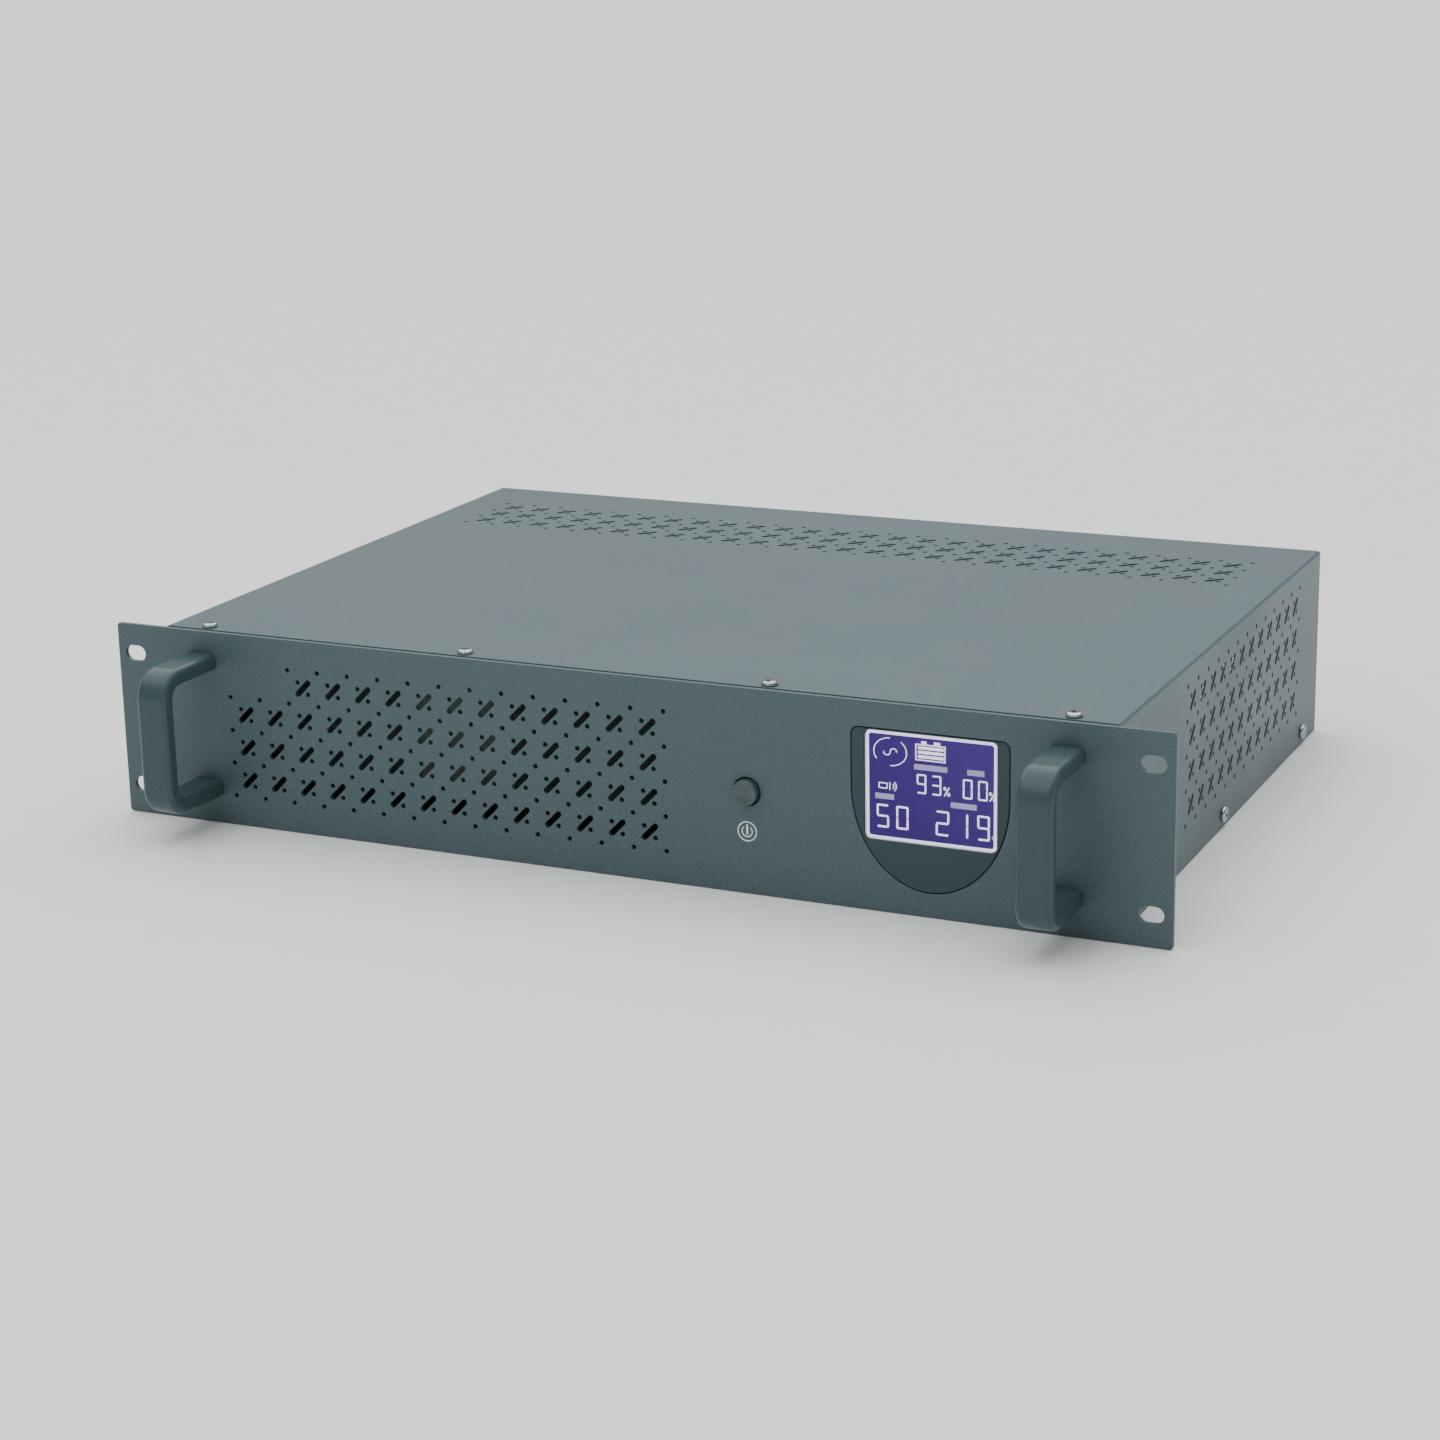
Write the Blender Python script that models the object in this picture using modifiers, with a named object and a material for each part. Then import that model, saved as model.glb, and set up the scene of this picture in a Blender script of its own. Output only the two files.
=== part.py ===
"""Rack-mounted uninterruptible power supply, two units high, as an assembly of separate solids.

Metres, +Z up, +Y towards the back, +X to the right as seen from the front. The origin is on the
ground under the middle of the whole object. Depths written as "back" are measured from the front
face of the rack panel.
"""
import math

import bmesh
import bpy
from mathutils import Matrix, Vector

# Driving dimensions -------------------------------------------------------------------------
PANEL_WIDTH = 0.4826          # 19 inch rack panel
PANEL_HEIGHT = 0.087          # two rack units, less the clearance
PANEL_THICK = 0.002
BODY_WIDTH = 0.436
BODY_DEPTH = 0.312            # panel face to the back edge of the cover
SHEET = 0.0012
GAP = 0.0003                  # between pieces that touch
HANDLE_REACH = 0.040
BACK_PROUD = 0.004            # how far the breaker's button stands out at the back
FACE_Y = (HANDLE_REACH - BODY_DEPTH - BACK_PROUD) / 2
MID_Z = PANEL_HEIGHT / 2

# Front panel
RACK_SLOT_X = 0.2325
RACK_SLOT_Z = 0.0303          # above and below the middle
RACK_SLOT_LENGTH = 0.0103
RACK_SLOT_WIDTH = 0.0071
PITCH = 0.015                 # vent pattern
VENT_LENGTH = 0.0100
VENT_WIDTH = 0.0028
FRONT_VENT_X = -0.184         # left edge of the pattern
FRONT_VENT_COLUMNS = 14
FRONT_VENT_ROWS = 4
FRONT_VENT_MISSING = 2        # slots left out at the start of the top row
BUTTON_X = 0.0627
BUTTON_HOLE_RADIUS = 0.0062
BUTTON_RADIUS = 0.0055
BUTTON_PROUD = 0.003
BUTTON_LENGTH = 0.0095
BUTTON_FLANGE_RADIUS = 0.0072
BUTTON_FLANGE_BACK = 0.0048
BUTTON_STEM_RADIUS = 0.0018
SWITCH_HALF = 0.0065
SWITCH_BACK = (0.0100, 0.0211)

# Display bezel: a shield, flat above and half an ellipse below
BEZEL_X = 0.1417
BEZEL_TOP = 0.0760
BEZEL_BOTTOM = 0.0104
BEZEL_BEND_Z = 0.0520         # where the straight sides turn into the ellipse
BEZEL_HALF = 0.0331
BEZEL_CORNER = 0.003
LCD_WIDTH = 0.0550
LCD_HEIGHT = 0.0450
LCD_X = 0.1419
LCD_Z = 0.0527
LCD_THICK = 0.0014
BEZEL_THICK = 0.0020
BEZEL_GAP = 0.0004
BEZEL_FLANGE = 0.0026          # how far the flange reaches behind the panel
BEZEL_FLANGE_THICK = 0.0016
BEZEL_POST_RADIUS = 0.0022
BEZEL_POSTS = ((0.1100, 0.0700), (0.1735, 0.0700), (0.1280, 0.0180), (0.1560, 0.0180))
MODULE_BACK = 0.0042
MODULE_DEEP = 0.008
MODULE_HALF_WIDTH = 0.0280
DISPLAY_BOARD = (0.124, 0.068)
DISPLAY_BOARD_X = 0.1155
DISPLAY_BOARD_BACK = 0.0222
BOARD_THICK = 0.0016

# Handles: a flat strap bent into a U
HANDLE_X = 0.198
HANDLE_LOW = 0.0125
HANDLE_HIGH = 0.0775
HANDLE_WIDE = 0.015
HANDLE_THICK = 0.0075
HANDLE_EDGE = 0.0019           # rounding on its long edges
HANDLE_BEND = 0.013

# Cover
COVER_FRONT = 0.004           # back from the panel face
COVER_FOLD = 0.0015
TOP_VENT_COLUMNS = 26
TOP_VENT_ROWS = 3
TOP_VENT_BACK = 0.2326        # front edge of the pattern
SIDE_VENT_COLUMNS = 12
SIDE_VENT_ROWS = 4
SIDE_VENT_BACK = 0.095
SIDE_VENT_Z = 0.018
TOP_SCREW_X = (-0.198, -0.070, 0.070, 0.198)
TOP_SCREW_BACK = 0.0083
SIDE_SCREW_BACK = (0.019, 0.1525, 0.286)
SIDE_SCREW_Z = 0.0062
SCREW_SHANK = 0.0015
SCREW_HEAD = 0.0035
SCREW_HEAD_HIGH = 0.0016
SCREW_CROWN = 0.72             # the crown's radius as a part of the head's

# Back panel, as seen from the front: the fan is on the right
REAR_FACE = 0.3115            # back from the panel face
REAR_NOTCH_Z = 0.0165         # below this the panel is narrower, to clear the tray's sides
REAR_FAN_VENTS = 5
FAN_X = 0.160
FAN_SIZE = 0.080
FAN_DEEP = 0.025
FAN_RIM = 0.0024               # thinnest part of the frame round its bore
FAN_MOTOR_RADIUS = 0.016
FAN_HUB_RADIUS = 0.0165
FAN_BLADES = 7
FAN_BLADE = (0.0200, 0.0012, 0.0200)
FAN_BLADE_MIDDLE = 0.0255      # from the axis to the middle of a blade
FAN_BLADE_PITCH = math.radians(38)
INLET_X = 0.088
BREAKER_X = 0.054
SOCKET_Z = 0.030
SOCKET_BODY = (0.0266, 0.0196)
SOCKET_DEEP = 0.0200
SOCKET_FLANGE = 0.004          # wider and higher than the body
SOCKET_FLANGE_THICK = 0.0020
SOCKET_HOLE_DEEP = 0.0170
INLET_RECESS = (0.0224, 0.0154)
PIN_PLACES = ((-0.007, -0.002), (0, 0.002), (0.007, -0.002))
PIN = (0.002, 0.005)
SLIT = (0.0022, 0.0064)
BREAKER_HOLE_RADIUS = 0.0063
BREAKER_COLLAR_RADIUS = 0.0075
BREAKER_COLLAR_THICK = 0.0022
BREAKER_NECK_RADIUS = 0.0058
BREAKER_BORE_RADIUS = 0.0038
BREAKER_BUTTON_RADIUS = 0.0034
BREAKER_DEEP = 0.0140
OUTLET_X = (0.014, -0.022, -0.058, -0.094)
USB_X = 0.010
SERIAL_X = -0.030
SURGE_X = -0.080
PORT_Z = 0.066
PORT_DEEP = 0.0140
PORT_MOUTH_DEEP = 0.0080
USB_SHELL = (0.0120, 0.0112)
USB_MOUTH = (0.0086, 0.0078)
SERIAL_SHELL = (0.0192, 0.0108)
SERIAL_MOUTH = (0.0168, 0.0084)
SERIAL_SLANT = 0.0013
SURGE_SHELL = (0.0284, 0.0138)
SURGE_MOUTH = (0.0116, 0.0090)
SURGE_MOUTH_X = 0.0069         # from the middle of the pair
PORT_CLEARANCE = 0.0005        # between a port and its cut-out
CARD_X = -0.160
CARD_Z = 0.044
CARD_COVER = (0.070, 0.044)
CARD_HOLE = (0.060, 0.036)

# Inside
BATTERY = (0.094, 0.151, 0.065)
BATTERY_X = (-0.143, -0.033)
BATTERY_BACK = 0.030
TERMINAL_INSET = 0.020        # from each end of a battery to its terminal
LEAD_RADIUS = 0.0016
FLOOR_Z = SHEET + GAP
BRACKET_X = -0.088
BRACKET_WIDE = 0.044
BRACKET_FOOT = 0.012
BRACKET_CLEARANCE = 0.0015     # in front of and behind the batteries
TERMINAL_PROUD = 0.0055
CORE = (0.100, 0.084, 0.040)
CORE_X = 0.115
CORE_BACK = 0.135
CORE_Z = 0.040
CORE_LEG = 0.017               # half the middle leg's width
CORE_WINDOW = 0.034            # from the middle to a window's far side
CORE_REACH = 0.025             # half the windows' depth
WINDING_HALF_HIGH = 0.035
FOOT_REACH = 0.010
FOOT_RAIL = 0.012
BOARD_BACK = (0.200, 0.285)
BOARD_X = (-0.195, 0.060)
BOARD_Z = 0.010
BOARD_POST_INSET = 0.006
BOARD_POST_RADIUS = 0.003
HEATSINK = (0.030, 0.045, 0.045)
HEATSINK_FINS = 6
HEATSINK_FIN_THICK = 0.0015
HEATSINK_BASE = 0.004
HEATSINK_X = (-0.020, 0.020)
HEATSINK_BACK = 0.205
CAPACITOR_X = (-0.125, -0.100, -0.075)
CAPACITOR_BACK = 0.222
CAPACITOR_RADIUS = 0.009
CAPACITOR_HIGH = 0.036
RELAY = (0.016, 0.022, 0.020)
RELAY_X = (-0.165, -0.140)
RELAY_BACK = 0.238

# Colours: base colour, roughness, metallic
COATED_STEEL = ("coated_steel", (0.065, 0.095, 0.102), 0.5, 0.0)
HANDLE_PAINT = ("handle_paint", (0.050, 0.075, 0.080), 0.35, 0.0)
BEZEL_PLASTIC = ("bezel_plastic", (0.045, 0.060, 0.062), 0.5, 0.0)
SCREEN = ("screen", (0.045, 0.030, 0.230), 0.2, 0.0)
BUTTON_PLASTIC = ("button_plastic", (0.040, 0.060, 0.065), 0.4, 0.0)
ZINC = ("zinc", (0.62, 0.62, 0.60), 0.3, 1.0)
ZINC_SHEET = ("zinc_sheet", (0.30, 0.36, 0.34), 0.5, 0.6)
BLACK_PLASTIC = ("black_plastic", (0.02, 0.02, 0.022), 0.5, 0.0)
BATTERY_CASE = ("battery_case", (0.05, 0.05, 0.055), 0.6, 0.0)
CIRCUIT_BOARD = ("circuit_board", (0.02, 0.14, 0.06), 0.5, 0.0)
ALUMINIUM = ("aluminium", (0.55, 0.56, 0.57), 0.4, 1.0)
LAMINATION = ("lamination", (0.16, 0.15, 0.14), 0.5, 0.7)
COPPER = ("copper", (0.50, 0.22, 0.10), 0.35, 0.9)
RED_LEAD = ("red_lead", (0.45, 0.02, 0.02), 0.5, 0.0)
BLACK_LEAD = ("black_lead", (0.02, 0.02, 0.02), 0.5, 0.0)
RELAY_BLUE = ("relay_blue", (0.03, 0.10, 0.30), 0.4, 0.0)

PARTS = "uninterruptible_power_supply"
CUTTERS = "cutters"
RIGHT_ANGLE = math.pi / 2
FRONTWARD = Matrix.Rotation(RIGHT_ANGLE, 4, "X")
SIDEWARD = Matrix.Rotation(RIGHT_ANGLE, 4, "Z") @ FRONTWARD
LEVEL = Matrix.Identity(4)
TURNS = {"X": Matrix.Rotation(RIGHT_ANGLE, 4, "Y"), "Y": Matrix.Rotation(-RIGHT_ANGLE, 4, "X"), "Z": LEVEL}


# Scene and materials ------------------------------------------------------------------------
def clear_scene():
    for item in list(bpy.data.objects):
        bpy.data.objects.remove(item, do_unlink=True)


def collection(name):
    found = bpy.data.collections.get(name)
    if found is None:
        found = bpy.data.collections.new(name)
        bpy.context.scene.collection.children.link(found)
    return found


def material(finish):
    name, colour, roughness, metallic = finish
    found = bpy.data.materials.get(name)
    if found is None:
        found = bpy.data.materials.new(name)
        found.use_nodes = True
        shader = found.node_tree.nodes["Principled BSDF"]
        shader.inputs["Base Color"].default_value = (*colour, 1.0)
        shader.inputs["Roughness"].default_value = roughness
        shader.inputs["Metallic"].default_value = metallic
    return found


def back(distance):
    """World y of a point this far behind the panel's front face."""
    return FACE_Y + distance


# Shapes -------------------------------------------------------------------------------------
def place(name, mesh, matrix, finish):
    """A new object for a mesh. With no finish it is a cutter or a piece to be joined."""
    item = bpy.data.objects.new(name, mesh)
    item.matrix_world = matrix
    if finish is None:
        collection(CUTTERS).objects.link(item)
        item.hide_render = True
        item.display_type = "WIRE"
    else:
        collection(PARTS).objects.link(item)
        mesh.materials.append(material(finish))
    return item


def box(name, low, high, finish=None):
    """A block between two corners, its origin in the middle."""
    low, high = Vector(low), Vector(high)
    work = bmesh.new()
    bmesh.ops.create_cube(work, size=1.0)
    bmesh.ops.scale(work, vec=high - low, verts=work.verts)
    mesh = bpy.data.meshes.new(name)
    work.to_mesh(mesh)
    work.free()
    return place(name, mesh, Matrix.Translation((low + high) / 2), finish)


def rod(name, start, axis, radius, length, finish=None, segments=16, end_radius=None):
    """A cylinder or cone from a point along X, Y or Z, its origin at that point."""
    work = bmesh.new()
    bmesh.ops.create_cone(work, cap_ends=True, cap_tris=False, segments=segments, radius1=radius,
                          radius2=radius if end_radius is None else end_radius, depth=abs(length))
    bmesh.ops.translate(work, vec=(0, 0, abs(length) / 2), verts=work.verts)
    turn = TURNS[axis]
    if length < 0:
        turn = Matrix.Rotation(math.pi, 4, "Y" if axis == "X" else "X") @ turn
    bmesh.ops.transform(work, matrix=turn, verts=work.verts)
    mesh = bpy.data.meshes.new(name)
    work.to_mesh(mesh)
    work.free()
    if segments >= 12:
        mesh.shade_smooth()
        mesh.set_sharp_from_angle(angle=math.radians(35))
    return place(name, mesh, Matrix.Translation(Vector(start)), finish)


def plate(name, outlines, turn, origin, thick, finish=None):
    """Flat outlines, the first one outside and the rest holes in it, given a thickness.

    The plate is centred on its origin. The outlines lie in the turned XY plane.
    """
    flat = bpy.data.curves.new(name, "CURVE")
    flat.dimensions = "2D"
    flat.fill_mode = "BOTH"
    flat.extrude = thick / 2
    for outline in outlines:
        line = flat.splines.new("POLY")
        line.points.add(len(outline) - 1)
        for point, (across, along) in zip(line.points, outline):
            point.co = (across, along, 0, 1)
        line.use_cyclic_u = True
    drawn = bpy.data.objects.new(name + "_outline", flat)
    bpy.context.scene.collection.objects.link(drawn)
    mesh = bpy.data.meshes.new_from_object(drawn.evaluated_get(bpy.context.evaluated_depsgraph_get()))
    bpy.data.objects.remove(drawn, do_unlink=True)
    work = bmesh.new()
    work.from_mesh(mesh)
    bmesh.ops.remove_doubles(work, verts=work.verts, dist=0.000001)
    bmesh.ops.recalc_face_normals(work, faces=work.faces)
    work.to_mesh(mesh)
    work.free()
    mesh.name = name
    mesh.materials.clear()
    return place(name, mesh, Matrix.Translation(Vector(origin)) @ turn, finish)


def tube(name, points, radius, finish):
    """A lead through the given points, rounded at its bends, welded into one mesh."""
    wire = bpy.data.curves.new(name, "CURVE")
    wire.dimensions = "3D"
    wire.bevel_depth = radius
    wire.bevel_resolution = 2
    wire.use_fill_caps = True
    line = wire.splines.new("POLY")
    route = smooth_route(points)
    line.points.add(len(route) - 1)
    for point, place_at in zip(line.points, route):
        point.co = (*place_at, 1)
    drawn = bpy.data.objects.new(name + "_route", wire)
    bpy.context.scene.collection.objects.link(drawn)
    mesh = bpy.data.meshes.new_from_object(drawn.evaluated_get(bpy.context.evaluated_depsgraph_get()))
    bpy.data.objects.remove(drawn, do_unlink=True)
    work = bmesh.new()
    work.from_mesh(mesh)
    bmesh.ops.remove_doubles(work, verts=work.verts, dist=0.000001)
    work.to_mesh(mesh)
    work.free()
    mesh.materials.clear()
    mesh.shade_smooth()
    return place(name, mesh, Matrix.Identity(4), finish)


def smooth_route(points, steps=4):
    """Points along a Catmull-Rom curve through a route's own points."""
    known = [Vector(point) for point in points]
    known = [known[0]] + known + [known[-1]]
    route = []
    for index in range(1, len(known) - 2):
        before, start, end, after = known[index - 1:index + 3]
        for step in range(steps):
            t = step / steps
            route.append(0.5 * (2 * start + (end - before) * t
                                + (2 * before - 5 * start + 4 * end - after) * t * t
                                + (3 * start - before - 3 * end + after) * t ** 3))
    route.append(known[-2])
    return route


def cut(item, *cutters):
    for cutter in cutters:
        change = item.modifiers.new("cut_" + cutter.name, "BOOLEAN")
        change.operation = "DIFFERENCE"
        change.solver = "EXACT"
        change.object = cutter
    return item


def join(item, *others):
    for other in others:
        change = item.modifiers.new("join_" + other.name, "BOOLEAN")
        change.operation = "UNION"
        change.solver = "EXACT"
        change.object = other
    return item


def soften(item, width, segments=1, angle=40):
    """Rounded or chamfered edges."""
    change = item.modifiers.new("soften", "BEVEL")
    change.width = width
    change.segments = segments
    change.limit_method = "ANGLE"
    change.angle_limit = math.radians(angle)
    return item


# Outlines -----------------------------------------------------------------------------------
def ring(x, y, radius, sides):
    turns = (math.tau * index / sides for index in range(sides))
    return [(x + radius * math.cos(turn), y + radius * math.sin(turn)) for turn in turns]


def rectangle(x, y, width, height):
    return [(x - width / 2, y - height / 2), (x + width / 2, y - height / 2),
            (x + width / 2, y + height / 2), (x - width / 2, y + height / 2)]


def rounded(x, y, width, height, radius, steps=3):
    """A rectangle with rounded corners."""
    points = []
    for corner, (side, level) in enumerate(((1, 1), (-1, 1), (-1, -1), (1, -1))):
        middle_x = x + side * (width / 2 - radius)
        middle_y = y + level * (height / 2 - radius)
        for step in range(steps + 1):
            turn = RIGHT_ANGLE * (corner + step / steps)
            points.append((middle_x + radius * math.cos(turn), middle_y + radius * math.sin(turn)))
    return points


def vent_slot(x, y):
    """A narrow slot that leans at 45 degrees."""
    half, side = VENT_LENGTH / 2, VENT_WIDTH / 2
    shape = ((half, side), (-half, side), (-half, -side), (half, -side))
    lean = math.radians(45)
    cosine, sine = math.cos(lean), math.sin(lean)
    return [(x + u * cosine - v * sine, y + u * sine + v * cosine) for u, v in shape]


def vent_field(x, y, columns, rows, missing=0):
    """Slots in a grid from its lower-left corner. The top row can lack its first ones."""
    slots = []
    for row in range(rows):
        for column in range(columns):
            if row == rows - 1 and column < missing:
                continue
            slots.append(vent_slot(x + (column + 0.5) * PITCH, y + (row + 0.5) * PITCH))
    return slots


def shield(margin):
    """The display bezel's outline, made larger all round by a margin."""
    half = BEZEL_HALF + margin
    depth = BEZEL_BEND_Z - BEZEL_BOTTOM + margin
    corner = BEZEL_CORNER + margin
    steps = 16
    points = []
    for step in range(steps + 1):
        turn = math.pi + math.pi * step / steps
        points.append((BEZEL_X + half * math.cos(turn), BEZEL_BEND_Z + depth * math.sin(turn)))
    for side, start in ((1, 0), (-1, 1)):
        for step in range(4):
            turn = RIGHT_ANGLE * (start + step / 3)
            points.append((BEZEL_X + side * (half - corner) + corner * math.cos(turn),
                           BEZEL_TOP - BEZEL_CORNER + corner * math.sin(turn)))
    return points


# Casing -------------------------------------------------------------------------------------
def screw_head_points():
    return [(side * HANDLE_X, level) for side in (-1, 1)
            for level in (HANDLE_LOW + HANDLE_THICK / 2, HANDLE_HIGH - HANDLE_THICK / 2)]


def front_panel():
    """The flat 19 inch panel with its rack slots, vents and the openings for button and display."""
    outlines = [rounded(0, MID_Z, PANEL_WIDTH, PANEL_HEIGHT, 0.0015, 2)]
    for side in (-1, 1):
        for level in (-1, 1):
            outlines.append(rounded(side * RACK_SLOT_X, MID_Z + level * RACK_SLOT_Z, RACK_SLOT_LENGTH,
                                    RACK_SLOT_WIDTH, RACK_SLOT_WIDTH / 2 - 0.0001))
    low = MID_Z - FRONT_VENT_ROWS * PITCH / 2
    outlines += vent_field(FRONT_VENT_X, low, FRONT_VENT_COLUMNS, FRONT_VENT_ROWS, FRONT_VENT_MISSING)
    outlines.append(ring(BUTTON_X, MID_Z, BUTTON_HOLE_RADIUS, 20))
    outlines.append(shield(BEZEL_GAP))
    outlines += [ring(x, z, SCREW_SHANK + GAP, 8) for x, z in screw_head_points()]
    plate("front_panel", outlines, FRONTWARD, (0, back(PANEL_THICK / 2), 0), PANEL_THICK, COATED_STEEL)


def chassis_tray():
    """Bottom, low sides, and a front wall with windows and a return flange for the cover."""
    half = BODY_WIDTH / 2 - SHEET - GAP
    start, end = PANEL_THICK + GAP, BODY_DEPTH - 0.0005
    lip = 0.016
    section = [(-half, 0), (half, 0), (half, lip), (half - SHEET, lip), (half - SHEET, SHEET),
               (SHEET - half, SHEET), (SHEET - half, lip), (-half, lip)]
    tray = plate("chassis_tray", [section], FRONTWARD, (0, back((start + end) / 2), 0), end - start,
                 COATED_STEEL)
    top = PANEL_HEIGHT - SHEET - GAP
    windows = [rounded(-0.079, 0.0435, 0.214, 0.070, 0.004), rounded(0.1165, 0.0434, 0.129, 0.073, 0.003)]
    windows += [ring(x, z, SCREW_HEAD + 0.0012, 12) for x, z in screw_head_points()]
    inset = 0.0002
    outline = rectangle(0, (top + inset) / 2, 2 * (half - inset), top - inset)
    wall = plate("tray_front_wall", [outline] + windows, FRONTWARD,
                 (0, back(start + inset + SHEET / 2), 0), SHEET)
    flange = box("tray_flange", (0.003 - half, back(start + 2 * inset), top - SHEET),
                 (half - 0.003, back(0.016), top - inset))
    join(tray, wall, flange)
    for index, x in enumerate(TOP_SCREW_X):
        cut(tray, rod(f"tray_top_hole_{index}", (x, back(TOP_SCREW_BACK), top - 0.004), "Z",
                      SCREW_SHANK + GAP, 0.008, segments=8))
    for index, along in enumerate(SIDE_SCREW_BACK):
        cut(tray, rod(f"tray_side_hole_{index}", (-0.3, back(along), SIDE_SCREW_Z), "X",
                      SCREW_SHANK + GAP, 0.6, segments=8))


def top_cover():
    """The top and both sides in one folded sheet, pierced with vents."""
    half = BODY_WIDTH / 2
    outer = [(half, 0.0)]
    for side, start in ((1, 0), (-1, 1)):
        for step in range(4):
            turn = RIGHT_ANGLE * (start + step / 3)
            outer.append((side * (half - COVER_FOLD) + COVER_FOLD * math.cos(turn),
                          PANEL_HEIGHT - COVER_FOLD + COVER_FOLD * math.sin(turn)))
    outer += [(-half, 0.0), (SHEET - half, 0.0), (SHEET - half, PANEL_HEIGHT - SHEET),
              (half - SHEET, PANEL_HEIGHT - SHEET), (half - SHEET, 0.0)]
    length = BODY_DEPTH - COVER_FRONT
    cover = plate("top_cover", [outer], FRONTWARD, (0, back(COVER_FRONT + length / 2), 0), length,
                  COATED_STEEL)
    width = TOP_VENT_COLUMNS * PITCH
    top_slots = vent_field(-width / 2, back(TOP_VENT_BACK), TOP_VENT_COLUMNS, TOP_VENT_ROWS)
    side_slots = vent_field(back(SIDE_VENT_BACK), SIDE_VENT_Z, SIDE_VENT_COLUMNS, SIDE_VENT_ROWS)
    cut(cover, plate("cover_top_vents", top_slots, LEVEL, (0, 0, PANEL_HEIGHT), 0.01),
        plate("cover_side_vents", side_slots, SIDEWARD, (0, 0, 0), 2 * BODY_WIDTH))
    holes = [ring(x, back(TOP_SCREW_BACK), SCREW_SHANK + GAP, 8) for x in TOP_SCREW_X]
    side_holes = [ring(back(along), SIDE_SCREW_Z, SCREW_SHANK + GAP, 8) for along in SIDE_SCREW_BACK]
    cut(cover, plate("cover_top_holes", holes, LEVEL, (0, 0, PANEL_HEIGHT), 0.01),
        plate("cover_side_holes", side_holes, SIDEWARD, (0, 0, 0), 2 * BODY_WIDTH))


def rear_panel():
    """The back sheet with the fan's vents and a cut-out for each socket and port."""
    half = BODY_WIDTH / 2 - SHEET - GAP
    low, high = FLOOR_Z, PANEL_HEIGHT - SHEET - GAP
    side, notch = half - SHEET - GAP, REAR_NOTCH_Z
    outlines = [[(-side, low), (side, low), (side, notch), (half, notch), (half, high),
                 (-half, high), (-half, notch), (-side, notch)]]
    wide, tall = (length + 2 * PORT_CLEARANCE for length in SOCKET_BODY)
    outlines += [rounded(x, SOCKET_Z, wide, tall, 0.003) for x in (INLET_X, *OUTLET_X)]
    outlines.append(ring(BREAKER_X, SOCKET_Z, BREAKER_HOLE_RADIUS, 16))
    for x, (wide, tall) in ((USB_X, USB_SHELL), (SERIAL_X, SERIAL_SHELL), (SURGE_X, SURGE_SHELL)):
        outlines.append(rectangle(x, PORT_Z, wide + 2 * PORT_CLEARANCE, tall + 2 * PORT_CLEARANCE))
    outlines.append(rectangle(CARD_X, CARD_Z, *CARD_HOLE))
    reach = REAR_FAN_VENTS * PITCH / 2
    outlines += vent_field(FAN_X - reach, MID_Z - reach, REAR_FAN_VENTS, REAR_FAN_VENTS)
    plate("rear_panel", outlines, FRONTWARD, (0, back(REAR_FACE - SHEET / 2), 0), SHEET, COATED_STEEL)


# Handles and screws -------------------------------------------------------------------------
def handle(name, x):
    """A flat strap bent into a U, with a blind screw hole in each leg."""
    outer, inner = HANDLE_BEND, HANDLE_BEND - HANDLE_THICK
    front, foot = back(-HANDLE_REACH), back(-GAP)
    corners = ((HANDLE_LOW + HANDLE_BEND, math.pi * 1.5), (HANDLE_HIGH - HANDLE_BEND, math.pi))
    middle = front + HANDLE_BEND

    def bend(level, start, radius, steps=5):
        turns = (start - RIGHT_ANGLE * step / steps for step in range(steps + 1))
        return [(middle + radius * math.cos(turn), level + radius * math.sin(turn)) for turn in turns]

    outside = [point for level, start in corners for point in bend(level, start, outer)]
    inside = [point for level, start in corners for point in bend(level, start, inner)]
    outline = [(foot, HANDLE_LOW)] + outside + [(foot, HANDLE_HIGH), (foot, HANDLE_HIGH - HANDLE_THICK)]
    outline += inside[::-1] + [(foot, HANDLE_LOW + HANDLE_THICK)]
    strap = plate(name, [outline], SIDEWARD, (x, 0, 0), HANDLE_WIDE, HANDLE_PAINT)
    soften(strap, HANDLE_EDGE, 2, 60)
    for index, level in enumerate((HANDLE_LOW + HANDLE_THICK / 2, HANDLE_HIGH - HANDLE_THICK / 2)):
        cut(strap, rod(f"{name}_hole_{index}", (x, back(0.002), level), "Y", SCREW_SHANK + GAP, -0.012,
                       segments=8))


def pan_screw(name, under_head, axis, outward, length):
    """A pan-head screw. outward is the side its head is on, 1 or -1."""
    head = rod(name, under_head, axis, SCREW_HEAD, outward * SCREW_HEAD_HIGH, ZINC, 14,
               SCREW_HEAD * SCREW_CROWN)
    start = Vector(under_head)
    start["XYZ".index(axis)] += outward * 0.0005
    join(head, rod(name + "_shank", start, axis, SCREW_SHANK, -outward * (length + 0.0005), segments=8))


def screws():
    for index, x in enumerate(TOP_SCREW_X):
        pan_screw(f"cover_screw_top_{index + 1}", (x, back(TOP_SCREW_BACK), PANEL_HEIGHT + GAP), "Z", 1, 0.006)
    for side, word in ((-1, "left"), (1, "right")):
        for index, along in enumerate(SIDE_SCREW_BACK):
            start = (side * (BODY_WIDTH / 2 + GAP), back(along), SIDE_SCREW_Z)
            pan_screw(f"cover_screw_{word}_{index + 1}", start, "X", side, 0.006)
    for index, (x, z) in enumerate(screw_head_points()):
        pan_screw(f"handle_screw_{index + 1}", (x, back(PANEL_THICK + GAP), z), "Y", 1, 0.009)


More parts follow.
